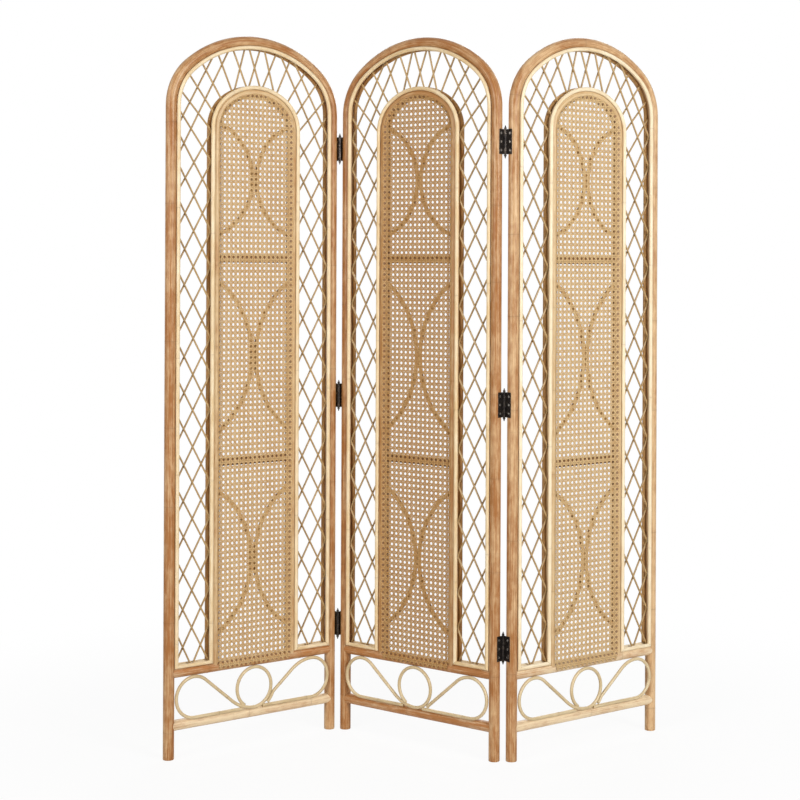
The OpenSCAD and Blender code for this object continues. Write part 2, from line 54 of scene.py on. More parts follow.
# How pale a piece is on each panel, from 0 to 1; a pair runs from one end of the cane to the other.
TONES = {
    # The outer poles grow paler toward their right legs: in part painted light, where the key lamp and its
    # sheen fall, in part the canes' own tone.
    "outer_pole": {"left": (0.18, 0.42), "mid": (0.18, 0.28), "right": (0.32, 0.9)},
    "inner_pole": {"left": 0.75, "mid": 0.2, "right": 0.9},
    "liner": {"left": 0.5, "mid": 0.4, "right": 0.75},
    "sills": {"left": 0.5, "mid": 0.4, "right": 0.8},
    "upper_rail": {"left": 0.2, "mid": 0.08, "right": 0.78},
    "lower_rail": {"left": 0.85, "mid": 0.02, "right": 0.95},
    "webbing": {"left": 0.6, "mid": 0.2, "right": 0.75},
}
# Height of the middle of each pair of braces, and half the height that the pair spans.
BRACE_PAIRS = ((1.435, 0.137), (0.987, 0.1855), (0.472, 0.175))
# Spaces between the upright pairs of strands across the flat part of each webbing.
WEB_GAPS = {"left": 14, "mid": 13, "right": 13}
# Radius of the bend that leads from each scroll's right loop into its straight run.
SHOULDERS = {"left": 0.095, "mid": 0.065, "right": 0.080}

POINT_GAP = 0.002   # between two points of a path
LEAD = 0.002        # from an upright's skin to the straight end of a bar, before its cope
COPE = 0.0001       # left free between a coped or mitred end and what it meets
MITRE = 0.0005      # from a mitre's inner corner to the straight end, before its cut
CONTACT_SHADE_WIDTH = 9       # width, in degrees, of the painted shade line where a liner lies on a pole
KNOT_WIDE = 0.0028  # reach of a knot's ridge along its cane
NO_KNOT = 0.05      # distance to a knot that is given where there is none near


# ---------------------------------------------------------------- sizes and colours

def length(name, default, description):
    return FloatProperty(name=name, default=default, description=description, unit="LENGTH", precision=5)


def colour(name, default, description):
    return FloatVectorProperty(name=name, default=default, description=description, subtype="COLOR",
                               size=3, min=0.0, max=1.0)


def angle(name, degrees, description):
    return FloatProperty(name=name, default=math.radians(degrees), description=description, subtype="ANGLE")


class ScreenFrameSizes(bpy.types.PropertyGroup):
    """Sizes of the three panels' bent poles, rails and liners"""

    stance: angle("Stance", 38, "Angle of each panel to the line of the screen")
    panel_x: length("Panel spacing", 0.4221826, "Distance between the centres of two panels")
    leg_x: length("Leg", 0.241, "Distance from the panel's middle to a leg's centre")
    outer_r: length("Outer radius", 0.014, "Radius of the outer pole")
    outer_spring: length("Outer springing", 1.612, "Height where the outer arch springs")
    outer_rise: length("Outer rise", 0.174, "Rise of the outer arch")
    outer_bend: length("Outer bend", 0.136, "Bend radius of the outer shoulders")
    inner_x: length("Inner leg", 0.113, "Distance from the panel's middle to an inner leg's centre")
    inner_r: length("Inner radius", 0.013, "Radius of the inner pole")
    inner_spring: length("Inner springing", 1.563, "Height where the inner arch springs")
    inner_rise: length("Inner rise", 0.0924, "Rise of the inner arch")
    inner_bend: length("Inner bend", 0.0813, "Bend radius of the inner shoulders")
    liner_r: length("Liner radius", 0.005, "Radius of the liners and sill strips")
    liner_n: length("Liner offset", 0.0108, "Offset of the liners from the panel's middle plane")
    rail_r: length("Rail radius", 0.0135, "Radius of both rails")
    upper_rail_z: length("Upper rail", 0.2115, "Height of the upper rail")
    lower_rail_z: length("Lower rail", 0.0815, "Height of the lower rail")
    bar_r: length("Cross bar radius", 0.011, "Radius of the cross bars")
    bar_back: length("Cross bar offset", 0.002, "Offset of the cross bars behind the middle plane")
    upper_bar_z: length("Upper cross bar", 1.235, "Height of the upper cross bar")
    lower_bar_z: length("Lower cross bar", 0.723, "Height of the lower cross bar")
    brace_r: length("Brace radius", 0.0055, "Radius of the bent braces")
    brace_n: length("Brace offset", 0.0025, "Offset of the braces in front of the middle plane")
    seat: length("Seat", 0.0003, "Space between two pieces that rest on each other")
    snug: length("Snug seat", -0.0002, "Space between a liner and the pole that it is nailed to")
    knot_gap: length("Knot spacing", 0.27, "Usual distance between two knots of a pole")
    flat_x: length("Hinge flat", 0.2532, "Distance from the panel's middle to the flats under the hinges")
    flat_half: length("Hinge flat height", 0.0313, "Half the height of a hinge's flat")
    hinge_low: length("Low hinge", 0.277, "Height of the low hinges")
    hinge_mid: length("Middle hinge", 0.877, "Height of the middle hinges")
    hinge_top: length("Top hinge", 1.525, "Height of the top hinges")


class ScreenWeaveSizes(bpy.types.PropertyGroup):
    """Sizes of the lattice, the webbing and the scroll"""

    cane_r: length("Lattice cane radius", 0.0024, "Radius of the lattice canes")
    turn_long: length("Turn length", 0.010, "Length that a cane runs along its channel in a turn")
    cane_pitch: length("Turn spacing", 0.0894, "Height between turns along a side")
    cane_closer: length("Closing", 0.004, "How much closer each turn comes above the springing")
    outer_turn: length("Outer turns", 0.0473, "Spacing of the outer turns round the arch")
    inner_turn: length("Inner turns", 0.043, "Spacing of the inner turns round the arch")
    last_even: IntProperty(name="Even turns", default=13, description="Last turn that keeps the even spacing")
    wander: length("Wander", 0.0016, "How far a turn strays from its even place")
    web_n: length("Webbing offset", 0.0099, "Offset of the webbing in front of the middle plane")
    web_hole: length("Outer holes", 0.0923, "Distance from the middle to the last holes of the flat webbing")
    web_rim: length("Rim holes", 0.1061, "Distance from the middle to the holes that lie on the inner pole")
    web_edge: length("Edge strands", 0.1116, "Distance from the middle to the webbing's edge pair")
    web_cover: length("Cover", 0.0022, "How far the webbing stops short of the inner pole's centre line")
    web_rise: length("Webbing rise", 0.01413, "Distance between two level pairs of strands")
    web_base: length("Webbing foot", 0.2278, "Height of the row that the webbing's rows are counted from")
    web_pair: length("Pair", 0.0021, "Half the distance between the two strands of a pair")
    web_wide: length("Strand width", 0.0032, "Width of a strand")
    web_thick: length("Strand thickness", 0.0006, "Thickness of a strand")
    web_lip: length("Lip", 0.018, "Length of webbing that is bent over the upper rail")
    scroll_r: length("Scroll radius", 0.0045, "Radius of the scroll's cane")
    scroll_n: length("Scroll offset", 0.0113, "Offset of the scroll in front of the middle plane")
    scroll_slope: angle("Scroll slope", 40, "Slope of the scroll's straight runs")


class ScreenColours(bpy.types.PropertyGroup):
    """Colours of the canes and the metal"""

    pole_pale: colour("Pole, pale", (0.70, 0.47, 0.25), "Pale streaks of the outer poles")
    pole_deep: colour("Pole, deep", (0.34, 0.130, 0.030), "Deep streaks of the outer poles")
    inner_pale: colour("Inner pole, pale", (0.70, 0.51, 0.280), "Pale streaks of the inner poles")
    inner_deep: colour("Inner pole, deep", (0.43, 0.200, 0.060), "Deep streaks of the inner poles")
    rail_pale: colour("Rail, pale", (0.83, 0.66, 0.43), "Pale streaks of the rails")
    rail_deep: colour("Rail, deep", (0.42, 0.172, 0.048), "Deep streaks of the rails")
    # The cross bars' colours are kept dark as painted shade, for the bars seen deep behind the webbing's
    # holes.
    bar_pale: colour("Bar, pale", (0.40, 0.205, 0.075), "Pale streaks of the cross bars")
    bar_deep: colour("Bar, deep", (0.25, 0.105, 0.034), "Deep streaks of the cross bars")
    # The back liners are darker than the front liners as painted shade, for the shaded channel behind the
    # lattice.
    back_pale: colour("Back liner, pale", (0.66, 0.40, 0.16), "Pale streaks of the liners at the back")
    back_deep: colour("Back liner, deep", (0.42, 0.19, 0.05), "Deep streaks of the liners at the back")
    rod_pale: colour("Rod, pale", (0.70, 0.44, 0.18), "Pale streaks of the braces")
    rod_deep: colour("Rod, deep", (0.50, 0.27, 0.09), "Deep streaks of the braces")
    liner_pale: colour("Liner, pale", (0.91, 0.79, 0.57), "Pale streaks of the liners")
    liner_deep: colour("Liner, deep", (0.68, 0.47, 0.22), "Deep streaks of the liners")
    lattice_pale: colour("Lattice, pale", (0.56, 0.385, 0.18), "Pale streaks of the lattice")
    lattice_deep: colour("Lattice, deep", (0.37, 0.225, 0.085), "Deep streaks of the lattice")
    scroll_pale: colour("Scroll, pale", (0.72, 0.58, 0.36), "Pale streaks of the scroll")
    scroll_deep: colour("Scroll, deep", (0.52, 0.385, 0.20), "Deep streaks of the scroll")
    web_pale: colour("Webbing, pale", (0.76, 0.545, 0.27), "Pale strands of the webbing")
    web_deep: colour("Webbing, deep", (0.50, 0.260, 0.075), "Deep strands of the webbing")
    # Colour of knots and flecks, and also of the painted shade in joints and under other pieces.
    scar_and_shade: colour("Knot", (0.17, 0.075, 0.03), "Scar at a knot, fleck or seam")
    bronze: colour("Bronze", (0.022, 0.018, 0.017), "Hinges and pins")
    bronze_rub: colour("Rubbed bronze", (0.30, 0.24, 0.19), "Hinges where they are rubbed")
    steel: colour("Steel", (0.72, 0.69, 0.64), "Screws")
    floor: colour("Floor", (0.86, 0.86, 0.855), "Studio floor")


def sizes():
    return bpy.context.scene.screen_frame


def weave():
    return bpy.context.scene.screen_weave


def colours():
    return bpy.context.scene.screen_colours


# ---------------------------------------------------------------- node groups and materials

class Net:
    """Short calls that add nodes to a tree, set their values and link them."""

    def __init__(self, tree):
        self.tree = tree

    def feed(self, node, sockets):
        """Links each named input of a node to an output, or sets it to a value."""
        for label, value in sockets.items():
            if isinstance(value, bpy.types.NodeSocket):
                self.tree.links.new(value, node.inputs[label])
            elif value is not None:
                node.inputs[label].default_value = value

    def add(self, kind, sockets=None, **settings):
        node = self.tree.nodes.new(kind)
        for name, value in settings.items():
            setattr(node, name, value)
        self.feed(node, sockets or {})
        return node

    def math(self, what, a, b=None, clamp=False):
        return self.add("ShaderNodeMath", {0: a, 1: b}, operation=what, use_clamp=clamp).outputs[0]

    def times(self, a, b):
        return self.math("MULTIPLY", a, b)

    def plus(self, a, b, clamp=False):
        return self.math("ADD", a, b, clamp)

    def minus(self, a, b):
        return self.math("SUBTRACT", a, b)

    def ramp(self, value, low, high, to_low=0.0, to_high=1.0):
        return self.add("ShaderNodeMapRange", {
            "Value": value, "From Min": low, "From Max": high, "To Min": to_low, "To Max": to_high,
        }, interpolation_type="SMOOTHSTEP").outputs["Result"]

    def noise(self, vector, scale, detail, rough):
        place = self.add("ShaderNodeMapping", {"Vector": vector, "Scale": scale}).outputs["Vector"]
        return self.add("ShaderNodeTexNoise", {
            "Vector": place, "Scale": 1.0, "Detail": detail, "Roughness": rough,
        }, noise_dimensions="3D").outputs["Fac"]

    def mix(self, factor, a, b):
        return self.add("ShaderNodeMix", {0: factor, 6: a, 7: b}, data_type="RGBA").outputs[2]


def skin_group(name, inputs):
    """A node group for a surface: gives its inputs, and takes its colour, roughness and height."""
    tree = bpy.data.node_groups.new(name, "ShaderNodeTree")
    for label, default in inputs.items():
        kind = "NodeSocketColor" if isinstance(default, tuple) else "NodeSocketFloat"
        tree.interface.new_socket(label, in_out="INPUT", socket_type=kind).default_value = default
    for label, kind in (("Color", "NodeSocketColor"), ("Roughness", "NodeSocketFloat"),
                        ("Height", "NodeSocketFloat")):
        tree.interface.new_socket(label, in_out="OUTPUT", socket_type=kind)
    net = Net(tree)
    return tree, net, net.add("NodeGroupInput").outputs, net.add("NodeGroupOutput")


def cane_group():
    """Skin of a cane: lengthwise streaks, broad mottling, flecks, painted shade in joints and under other
    pieces, and the scar at each knot.
    """
    if "Cane Skin" in bpy.data.node_groups:
        return bpy.data.node_groups["Cane Skin"]
    tree, net, given, put = skin_group("Cane Skin", {
        "Pale": (0.8, 0.6, 0.4, 1), "Deep": (0.5, 0.3, 0.15, 1), "Scar And Shade": (0.1, 0.05, 0.02, 1),
        "Streaks": 0.5, "Mottle": 0.5, "Flecks": 0.3, "Knots": 0.6, "Fineness": 1.0, "Gloss": 0.4,
        "Painted Shade Strength": 0.8,
    })
    grain = net.add("ShaderNodeAttribute", attribute_name="grain").outputs["Vector"]
    knot, tone, painted_shade = (net.add("ShaderNodeAttribute", attribute_name=name).outputs["Fac"]
                        for name in ("knot", "tone", "painted_shade"))
    fine = net.add("ShaderNodeVectorMath", {0: grain, "Scale": given["Fineness"]},
                   operation="SCALE").outputs["Vector"]
    streak = net.ramp(net.noise(fine, (620, 620, 7), 4.0, 0.6), 0.30, 0.70)
    thread = net.ramp(net.noise(fine, (2100, 2100, 22), 2.0, 0.5), 0.35, 0.65)
    broad = net.ramp(net.noise(grain, (34, 34, 8), 3.0, 0.6), 0.28, 0.72)
    cloud = net.ramp(net.noise(grain, (90, 90, 38), 4.0, 0.65), 0.33, 0.70)
    fleck = net.ramp(net.noise(fine, (900, 900, 170), 2.0, 0.5), 0.66, 0.74)

    skin = net.times(net.minus(streak, 0.5), given["Streaks"])
    skin = net.plus(skin, net.times(net.minus(thread, 0.5), net.times(given["Streaks"], 0.45)))
    patch = net.plus(net.times(broad, 0.6), net.times(cloud, 0.4))
    patch = net.times(net.minus(patch, 0.5), given["Mottle"])
    shade = net.plus(net.plus(skin, patch), tone, clamp=True)
    base = net.mix(shade, given["Deep"], given["Pale"])
    base = net.mix(net.times(fleck, given["Flecks"]), base, given["Scar And Shade"])

    away = net.math("ABSOLUTE", net.plus(knot, net.times(net.minus(cloud, 0.5), 0.0009)))
    ring = net.ramp(away, 0.00035, 0.00115, 1.0, 0.0)
    halo = net.ramp(away, 0.001, 0.009, 1.0, 0.0)
    base = net.mix(net.times(halo, net.times(given["Knots"], 0.28)), base, given["Scar And Shade"])
    base = net.mix(net.times(ring, given["Knots"]), base, given["Scar And Shade"])
    # Painted shade: the skin darkens toward the scar colour in joints and under other pieces, where shade
    # falls.
    painted_shade = net.times(net.times(painted_shade, net.ramp(cloud, -0.6, 0.8, 0.6, 1.0)), given["Painted Shade Strength"])

    rough = net.plus(given["Gloss"], net.times(net.minus(0.6, streak), 0.16))
    high = net.plus(net.times(streak, 0.5), net.times(thread, 0.3))
    high = net.minus(high, net.times(ring, 0.9))
    net.feed(put, {
        "Color": net.mix(painted_shade, base, given["Scar And Shade"]),
        "Roughness": net.plus(rough, net.times(ring, 0.25), clamp=True),
        "Height": net.minus(high, net.times(fleck, 0.25)),
    })
    return tree


def metal_group():
    """Skin of old metal: broad tarnish, rubbed patches, pits and fine scratches."""
    if "Old Metal" in bpy.data.node_groups:
        return bpy.data.node_groups["Old Metal"]
    tree, net, given, put = skin_group("Old Metal", {
        "Body": (0.1, 0.07, 0.05, 1), "Rubbed": (0.3, 0.2, 0.1, 1), "Wear": 0.4, "Gloss": 0.4,
    })
    place = net.add("ShaderNodeTexCoord").outputs["Object"]
    patch = net.ramp(net.noise(place, (130, 130, 90), 5.0, 0.65), 0.42, 0.72)
    pits = net.ramp(net.noise(place, (1500, 1500, 1500), 2.0, 0.5), 0.62, 0.72)
    brushed = net.noise(place, (300, 300, 2600), 3.0, 0.6)
    rub = net.plus(net.times(patch, given["Wear"]), net.times(net.minus(brushed, 0.5), 0.35), clamp=True)
    base = net.mix(rub, given["Body"], given["Rubbed"])
    net.feed(put, {
        "Color": net.mix(net.times(pits, 0.5), base, given["Body"]),
        "Roughness": net.plus(given["Gloss"], net.times(net.minus(0.5, patch), 0.25), clamp=True),
        "Height": net.minus(net.times(brushed, 0.4), net.times(pits, 0.6)),
    })
    return tree


def skin_material(name, group, values, metallic, coat, bump, deep, specular):
    """A Principled material whose colour, roughness and bump come from a skin group."""
    made = bpy.data.materials.new(name)
    made.use_nodes = True
    net = Net(made.node_tree)
    skin = net.add("ShaderNodeGroup", values, node_tree=group).outputs
    raised = net.add("ShaderNodeBump", {"Strength": bump, "Distance": deep, "Height": skin["Height"]})
    net.feed(made.node_tree.nodes["Principled BSDF"], {
        "Base Color": skin["Color"], "Roughness": skin["Roughness"], "Normal": raised.outputs["Normal"],
        "Metallic": metallic, "Coat Weight": coat, "Coat Roughness": 0.2, "Specular IOR Level": specular,
    })
    return made


# Each finish's material, colours, streaks, mottle, flecks, knots, fineness, gloss, coat and the strength of
# its painted shade.
CANE_FINISHES = {
    "outer_pole": ("Outer pole rattan", "pole", 0.6, 0.9, 0.3, 0.28, 1.0, 0.40, 0.1, 0.85),
    "inner_pole": ("Inner pole rattan", "inner", 0.7, 0.9, 0.3, 0.22, 1.0, 0.42, 0.1, 0.85),
    "rail": ("Rail rattan", "rail", 0.6, 0.9, 0.3, 0.25, 1.0, 0.42, 0.1, 0.85),
    "bar": ("Bar rattan (painted shade)", "bar", 0.55, 0.7, 0.3, 0.3, 1.2, 0.5, 0.1, 0.85),
    "rod": ("Rod rattan", "rod", 0.5, 0.7, 0.2, 0.2, 1.4, 0.5, 0.1, 0.85),
    "liner": ("Liner cane", "liner", 0.5, 0.7, 0.2, 0.22, 1.6, 0.42, 0.1, 0.85),
    "shaded_back_liner": ("Back liner cane (painted shade)", "back", 0.5, 0.7, 0.2, 0.22, 1.6, 0.5, 0.0, 0.85),
    "lattice": ("Lattice cane", "lattice", 0.4, 0.7, 0.1, 0.0, 2.2, 0.40, 0.1, 0.85),
    "scroll": ("Scroll cane", "scroll", 0.5, 0.8, 0.25, 0.25, 1.6, 0.34, 0.25, 0.85),
    "webbing": ("Webbing cane", "web", 0.4, 0.5, 0.1, 0.0, 2.0, 0.42, 0.05, 0.6),
}


def cane_finish(kind):
    name, hue, streaks, mottle, flecks, knots, fineness, gloss, coat, painted_shade_strength = CANE_FINISHES[kind]
    if name in bpy.data.materials:
        return bpy.data.materials[name]
    given = colours()
    return skin_material(name, cane_group(), {
        "Pale": (*getattr(given, f"{hue}_pale"), 1), "Deep": (*getattr(given, f"{hue}_deep"), 1),
        "Scar And Shade": (*given.scar_and_shade, 1), "Streaks": streaks, "Mottle": mottle, "Flecks": flecks, "Knots": knots,
        "Fineness": fineness, "Gloss": gloss, "Painted Shade Strength": painted_shade_strength,
    }, metallic=0.0, coat=coat, bump=0.35, deep=0.0002, specular=0.32)


def metal_finish(name, body, rubbed, wear, gloss, metallic):
    return skin_material(name, metal_group(), {
        "Body": (*body, 1), "Rubbed": (*rubbed, 1), "Wear": wear, "Gloss": gloss,
    }, metallic=metallic, coat=0.0, bump=0.25, deep=0.0001, specular=0.5)


# ---------------------------------------------------------------- panels, paths and swept canes

def panel_place(side):
    """Matrix of a panel's own frame: X along the panel, -Y its front."""
    _, shift, turn = PANELS[side]
    spin = Matrix.Rotation(turn * sizes().stance, 4, "Z")
    return Matrix.Translation((shift * sizes().panel_x, 0, 0)) @ spin


def line(p, q):
    return np.linspace(p, q, max(2, int(math.dist(p, q) / POINT_GAP) + 1))


def arc(centre, radius, start, end):
    """Points of an arc of the panel's plane; angles in degrees from +X toward +Z."""
    steps = max(3, int(abs(math.radians(end - start)) * radius / POINT_GAP) + 1)
    a = np.radians(np.linspace(start, end, steps))
    return np.column_stack((centre[0] + radius * np.cos(a), centre[1] + radius * np.sin(a)))


class Run:
    """A path at a distance n in front of the panel's plane, which gives points by their distance along it."""

    def __init__(self, parts, n=0.0):
        flat = np.vstack(parts)
        flat = flat[np.concatenate(([True], np.linalg.norm(np.diff(flat, axis=0), axis=1) > 1e-7))]
        self.dots = np.column_stack((flat[:, 0], np.full(len(flat), -n), flat[:, 1]))
        steps = np.linalg.norm(np.diff(self.dots, axis=0), axis=1)
        self.far = np.concatenate(([0.0], np.cumsum(steps)))
        self.long = self.far[-1]

    def at(self, s):
        return np.column_stack([np.interp(s, self.far, self.dots[:, k]) for k in range(3)])

    def along(self, s):
        reach = 0.0008
        way = self.at(np.minimum(s + reach, self.long)) - self.at(np.maximum(s - reach, 0.0))
        return way / np.linalg.norm(way, axis=1)[:, None]


def arch_numbers(kind):
    """Half width, springing, bend, crown radius, crown height and half angle of an arch."""
    s = sizes()
    a, spring, rise, bend = {
        "outer": (s.leg_x, s.outer_spring, s.outer_rise, s.outer_bend),
        "inner": (s.inner_x, s.inner_spring, s.inner_rise, s.inner_bend),
    }[kind]
    crown = ((a - bend) ** 2 + rise ** 2 - bend ** 2) / (2 * (rise - bend))
    middle = spring + rise - crown
    return a, spring, bend, crown, middle, math.degrees(math.atan2(a - bend, spring - middle))


def arch_run(kind, off, n, base):
    """Up the left leg, over the arch and down the right leg, off outside the pole's centre line."""
    a, spring, bend, crown, middle, half = arch_numbers(kind)
    return Run([
        line((-a - off, base), (-a - off, spring)),
        arc((bend - a, spring), bend + off, 180, 90 + half),
        arc((0, middle), crown + off, 90 + half, 90 - half),
        arc((a - bend, spring), bend + off, 90 - half, 0),
        line((a + off, spring), (a + off, base)),
    ], n)


def arch_at(kind, t, off):
    """Point of the line that the canes turn on; t runs from the crown's middle to the right."""
    a, spring, bend, crown, middle, half = arch_numbers(kind)
    flip = -1 if t < 0 else 1
    s = abs(t)
    top = (crown + off) * math.radians(half)
    side = (bend + off) * math.radians(90 - half)
    if s < top:
        g = s / (crown + off)
        return flip * (crown + off) * math.sin(g), middle + (crown + off) * math.cos(g)
    if s < top + side:
        g = math.radians(90 - half) - (s - top) / (bend + off)
        return flip * (a - bend + (bend + off) * math.cos(g)), spring + (bend + off) * math.sin(g)
    return flip * (a + off), spring - (s - top - side)


def rim_gap(u, z):
    """How far points lie outside (+) or inside (-) the centre line of the inner arch."""
    a, spring, bend, crown, middle, half = arch_numbers("inner")
    u = np.abs(u)
    gap = np.where(z > spring, np.hypot(u - (a - bend), z - spring) - bend, u - a)
    over = (z > middle) & (np.degrees(np.arctan2(u, np.maximum(z - middle, 1e-9))) < half)
    return np.where(over, np.hypot(u, z - middle) - crown, gap)


def beside(r1, r2, n, seat):
    """Distance in the panel's plane between two canes that touch, where one lies n out of the plane."""
    return math.sqrt((r1 + r2 + seat) ** 2 - n ** 2)


def liner_off(pole_r, seat):
    s = sizes()
    return beside(pole_r, s.liner_r, s.liner_n, seat)


def sill_height():
    s = sizes()
    return s.upper_rail_z + beside(s.rail_r, s.liner_r, s.liner_n, s.seat)


def groove(angles, *lines, wide):
    """1 on the given lines of a cane's skin (degrees), falling to 0 beside them."""
    dark = 0.0
    for line_at in lines:
        gap = (angles - line_at + 180) % 360 - 180
        dark = np.maximum(dark, np.exp(-(gap / wide) ** 2))
    return dark


def within(values, low, high, soft):
    """1 between two values, falling to 0 over a soft edge on both sides."""
    return np.clip((values - low) / soft + 1, 0, 1) * np.clip((high - values) / soft + 1, 0, 1)


def reshape(axis, rule):
    """A function that sets one axis of a ring's points by a rule."""
    def fit(ring):
        ring = ring.copy()
        ring[:, axis] = rule(ring)
        return ring
    return fit


def coped(x, radius):
    """The two ends of a level bar, fitted to the round sides of uprights at -x and x."""
    def side(hand):
        def rule(ring):
            y = np.clip(ring[:, 1], -radius * 0.995, radius * 0.995)
            return hand * (x - np.sqrt(radius ** 2 - y ** 2))
        return reshape(0, rule)
    return {"start": side(-1), "end": side(1)}


def sweep(dots, way, size, radius, far, sides):
    """Rings of points round a path, the skin's coordinates for them, and their angles in radians."""
    out = np.cross(way, (0.0, 1.0, 0.0))
    out /= np.linalg.norm(out, axis=1)[:, None]
    deep = np.cross(way, out)
    a = np.linspace(0, 2 * np.pi, sides, endpoint=False)
    ring = np.cos(a)[:, None] * out[:, None, :] + np.sin(a)[:, None] * deep[:, None, :]
    rings = dots[:, None, :] + ring * np.reshape(size, (-1, 1, 1))
    skin = np.empty_like(rings)
    skin[..., 0], skin[..., 1], skin[..., 2] = np.cos(a) * radius, np.sin(a) * radius, far[:, None]
    return rings, skin, a


class Bundle:
    """Collects canes into one mesh, with the coordinates that the cane skin reads."""

    def __init__(self, seed):
        self.chance = np.random.default_rng(seed)
        self.dots, self.faces, self.grain, self.knot, self.tone, self.painted_shade = [], [], [], [], [], []
        self.count = 0

    def rings(self, rings, skin, knot, tone, painted_shade=0.0):
        """Joins rings of points (rings x sides x 3) into a closed tube."""
        n, sides = rings.shape[:2]
        at = np.arange(n * sides).reshape(n, sides) + self.count
        nxt = np.roll(at, -1, axis=1)
        quads = np.stack((at[:-1], nxt[:-1], nxt[1:], at[1:]), axis=-1).reshape(-1, 4)
        self.faces.extend(quads.tolist())
        self.faces.append(at[0][::-1].tolist())
        self.faces.append(at[-1].tolist())
        self.dots.append(rings.reshape(-1, 3))
        self.grain.append(skin.reshape(-1, 3))
        self.knot.append(np.repeat(knot, sides))
        self.tone.append(np.broadcast_to(np.reshape(tone, (-1, 1)), (n, sides)).ravel())
        # painted shade at each point, 0 where none is painted
        self.painted_shade.append(np.broadcast_to(painted_shade, (n, sides)).ravel())
        self.count += n * sides

    def cane(self, run, radius, sides=16, step=0.011, knot_gap=0.0, ridge=0.0003, start=None, end=None,
             tone=None, round_ends=0.0, uneven=0.0, stops=(), trim=None, painted_shade=None):
        """Sweeps a cane along a run. start and end reshape the first and last ring, trim all rings;
        tone is one shade from 0 (deep) to 1 (pale), or a pair for the cane's two ends; the last argument,
        called with (rings, angles), gives painted shade in joints and under other pieces, with angles in
        degrees from the outside toward the front."""
        chance = self.chance
        free_end = 0.02
        knots = []
        if knot_gap:
            place = chance.uniform(0.15, 0.9) * knot_gap
            while place < run.long - free_end:
                if place > free_end:
                    knots.append(place)
                place += knot_gap * chance.uniform(0.7, 1.3)
        extra = [k + d for k in knots for d in (-0.006, -KNOT_WIDE, -0.0012, 0.0, 0.0008, KNOT_WIDE, 0.006)]
        extra += [*stops, round_ends, run.long - round_ends]
        s = np.linspace(0, run.long, max(3, int(run.long / step) + 1))
        s = np.unique(np.round(np.concatenate((s, [e for e in extra if 0 < e < run.long])), 5))
        near = np.full(len(s), NO_KNOT)
        for k in knots:
            gap = s - k
            near = np.where(np.abs(gap) < np.abs(near), gap, near)
        size = radius - ridge + ridge * np.exp(-(near / KNOT_WIDE) ** 2)
        if uneven:
            for wave in (0.31, 0.113):
                size = size - uneven * 0.5 * (1 + np.sin(2 * np.pi * (s / wave + chance.uniform())))
        size[[0, -1]] -= round_ends * 0.6
        rings, skin, a = sweep(run.at(s), run.along(s), size, radius, s + chance.uniform(0, 3.0), sides)
        if trim:
            rings = trim(rings)
        if start:
            rings[0] = start(rings[0])
        if end:
            rings[-1] = end(rings[-1])
        if tone is None:
            tone = 0.5 + chance.uniform(-0.12, 0.12)
        if isinstance(tone, tuple):
            tone = np.interp(s, (0.0, run.long), tone)
        self.rings(rings, skin, near, tone, painted_shade(rings, np.degrees(a)[None, :]) if painted_shade else 0.0)

    def build(self, name, material):
        mesh = bpy.data.meshes.new(name)
        mesh.from_pydata(np.concatenate(self.dots).tolist(), [], self.faces)
        for label, kind, key, values in (
                ("grain", "FLOAT_VECTOR", "vector", self.grain), ("knot", "FLOAT", "value", self.knot),
                ("tone", "FLOAT", "value", self.tone), ("painted_shade", "FLOAT", "value", self.painted_shade)):
            layer = mesh.attributes.new(label, kind, "POINT")
            layer.data.foreach_set(key, np.concatenate(values).astype(np.float32).ravel())
        mesh.update()
        mesh.shade_smooth()
        mesh.set_sharp_from_angle(angle=math.radians(42))
        mesh.materials.append(material)
        return mesh


def show(name, data):
    made = bpy.data.objects.new(name, data)
    bpy.context.scene.collection.objects.link(made)
    return made


def hang(bundle, side, part, finish, node):
    """Builds a bundle as a piece of its panel, in place of the panel's node."""
    name = f"{side}_{part}"
    mesh = bundle.build(name, cane_finish(finish))
    mesh.transform(panel_place(side))
    made = show(name, mesh)
    body = PANELS[side][0]
    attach(made, body)
    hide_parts(f"{side}_{node}")


def each_panel(seed):
    """Each panel's name, with an empty bundle whose random draws have their own seed."""
    for k, side in enumerate(PANELS):
        yield side, Bundle(seed + k)


# ---------------------------------------------------------------- the pieces

class SCREEN_OT_outer_poles(bpy.types.Operator):
    """Bend the outer pole of each panel"""

    bl_idname = "screen.outer_poles"
    bl_label = "Outer poles"

    def execute(self, context):
        s = sizes()
        run = arch_run("outer", 0, 0, 0)
        inset, hair = 0.0001, 2e-5
        touch = math.degrees(math.atan2(s.liner_n, -liner_off(s.outer_r, s.snug)))
        heights = (s.hinge_low, s.hinge_mid, s.hinge_top)
        hinged = {"left": (1,), "mid": (-1, 1), "right": (-1,)}
        edges = [z + hand * s.flat_half + d for z in heights for hand in (-1, 1) for d in (-hair, hair)]

        # Painted shade: a dark line on the pole where each liner lies on it, above the upper rail.
        def shade_under_liners(rings, angles):
            above = rings[..., 2] > s.upper_rail_z + s.rail_r
            return groove(angles, touch, -touch, wide=CONTACT_SHADE_WIDTH) * above

        for side, pole in each_panel(11):
            def flatten(rings):
                rings = rings.copy()
                middle = rings[..., 2].mean(axis=1, keepdims=True)
                near = np.min([np.abs(middle - z) for z in heights], axis=0) < s.flat_half
                for hand in hinged[side]:
                    over = near & (hand * rings[..., 0] > s.flat_x)
                    rings[..., 0] = np.where(over, hand * s.flat_x, rings[..., 0])
                return rings

            stops = []
            for hand in hinged[side]:
                stops += edges if hand < 0 else [run.long - z for z in edges]
            pole.cane(run, s.outer_r - inset, sides=36, knot_gap=s.knot_gap, ridge=inset, uneven=0.00002,
                      round_ends=0.0012, tone=TONES["outer_pole"][side], stops=stops, trim=flatten,
                      painted_shade=shade_under_liners)
            hang(pole, side, "outer_pole", "outer_pole", "outer_frame")
        return {"FINISHED"}


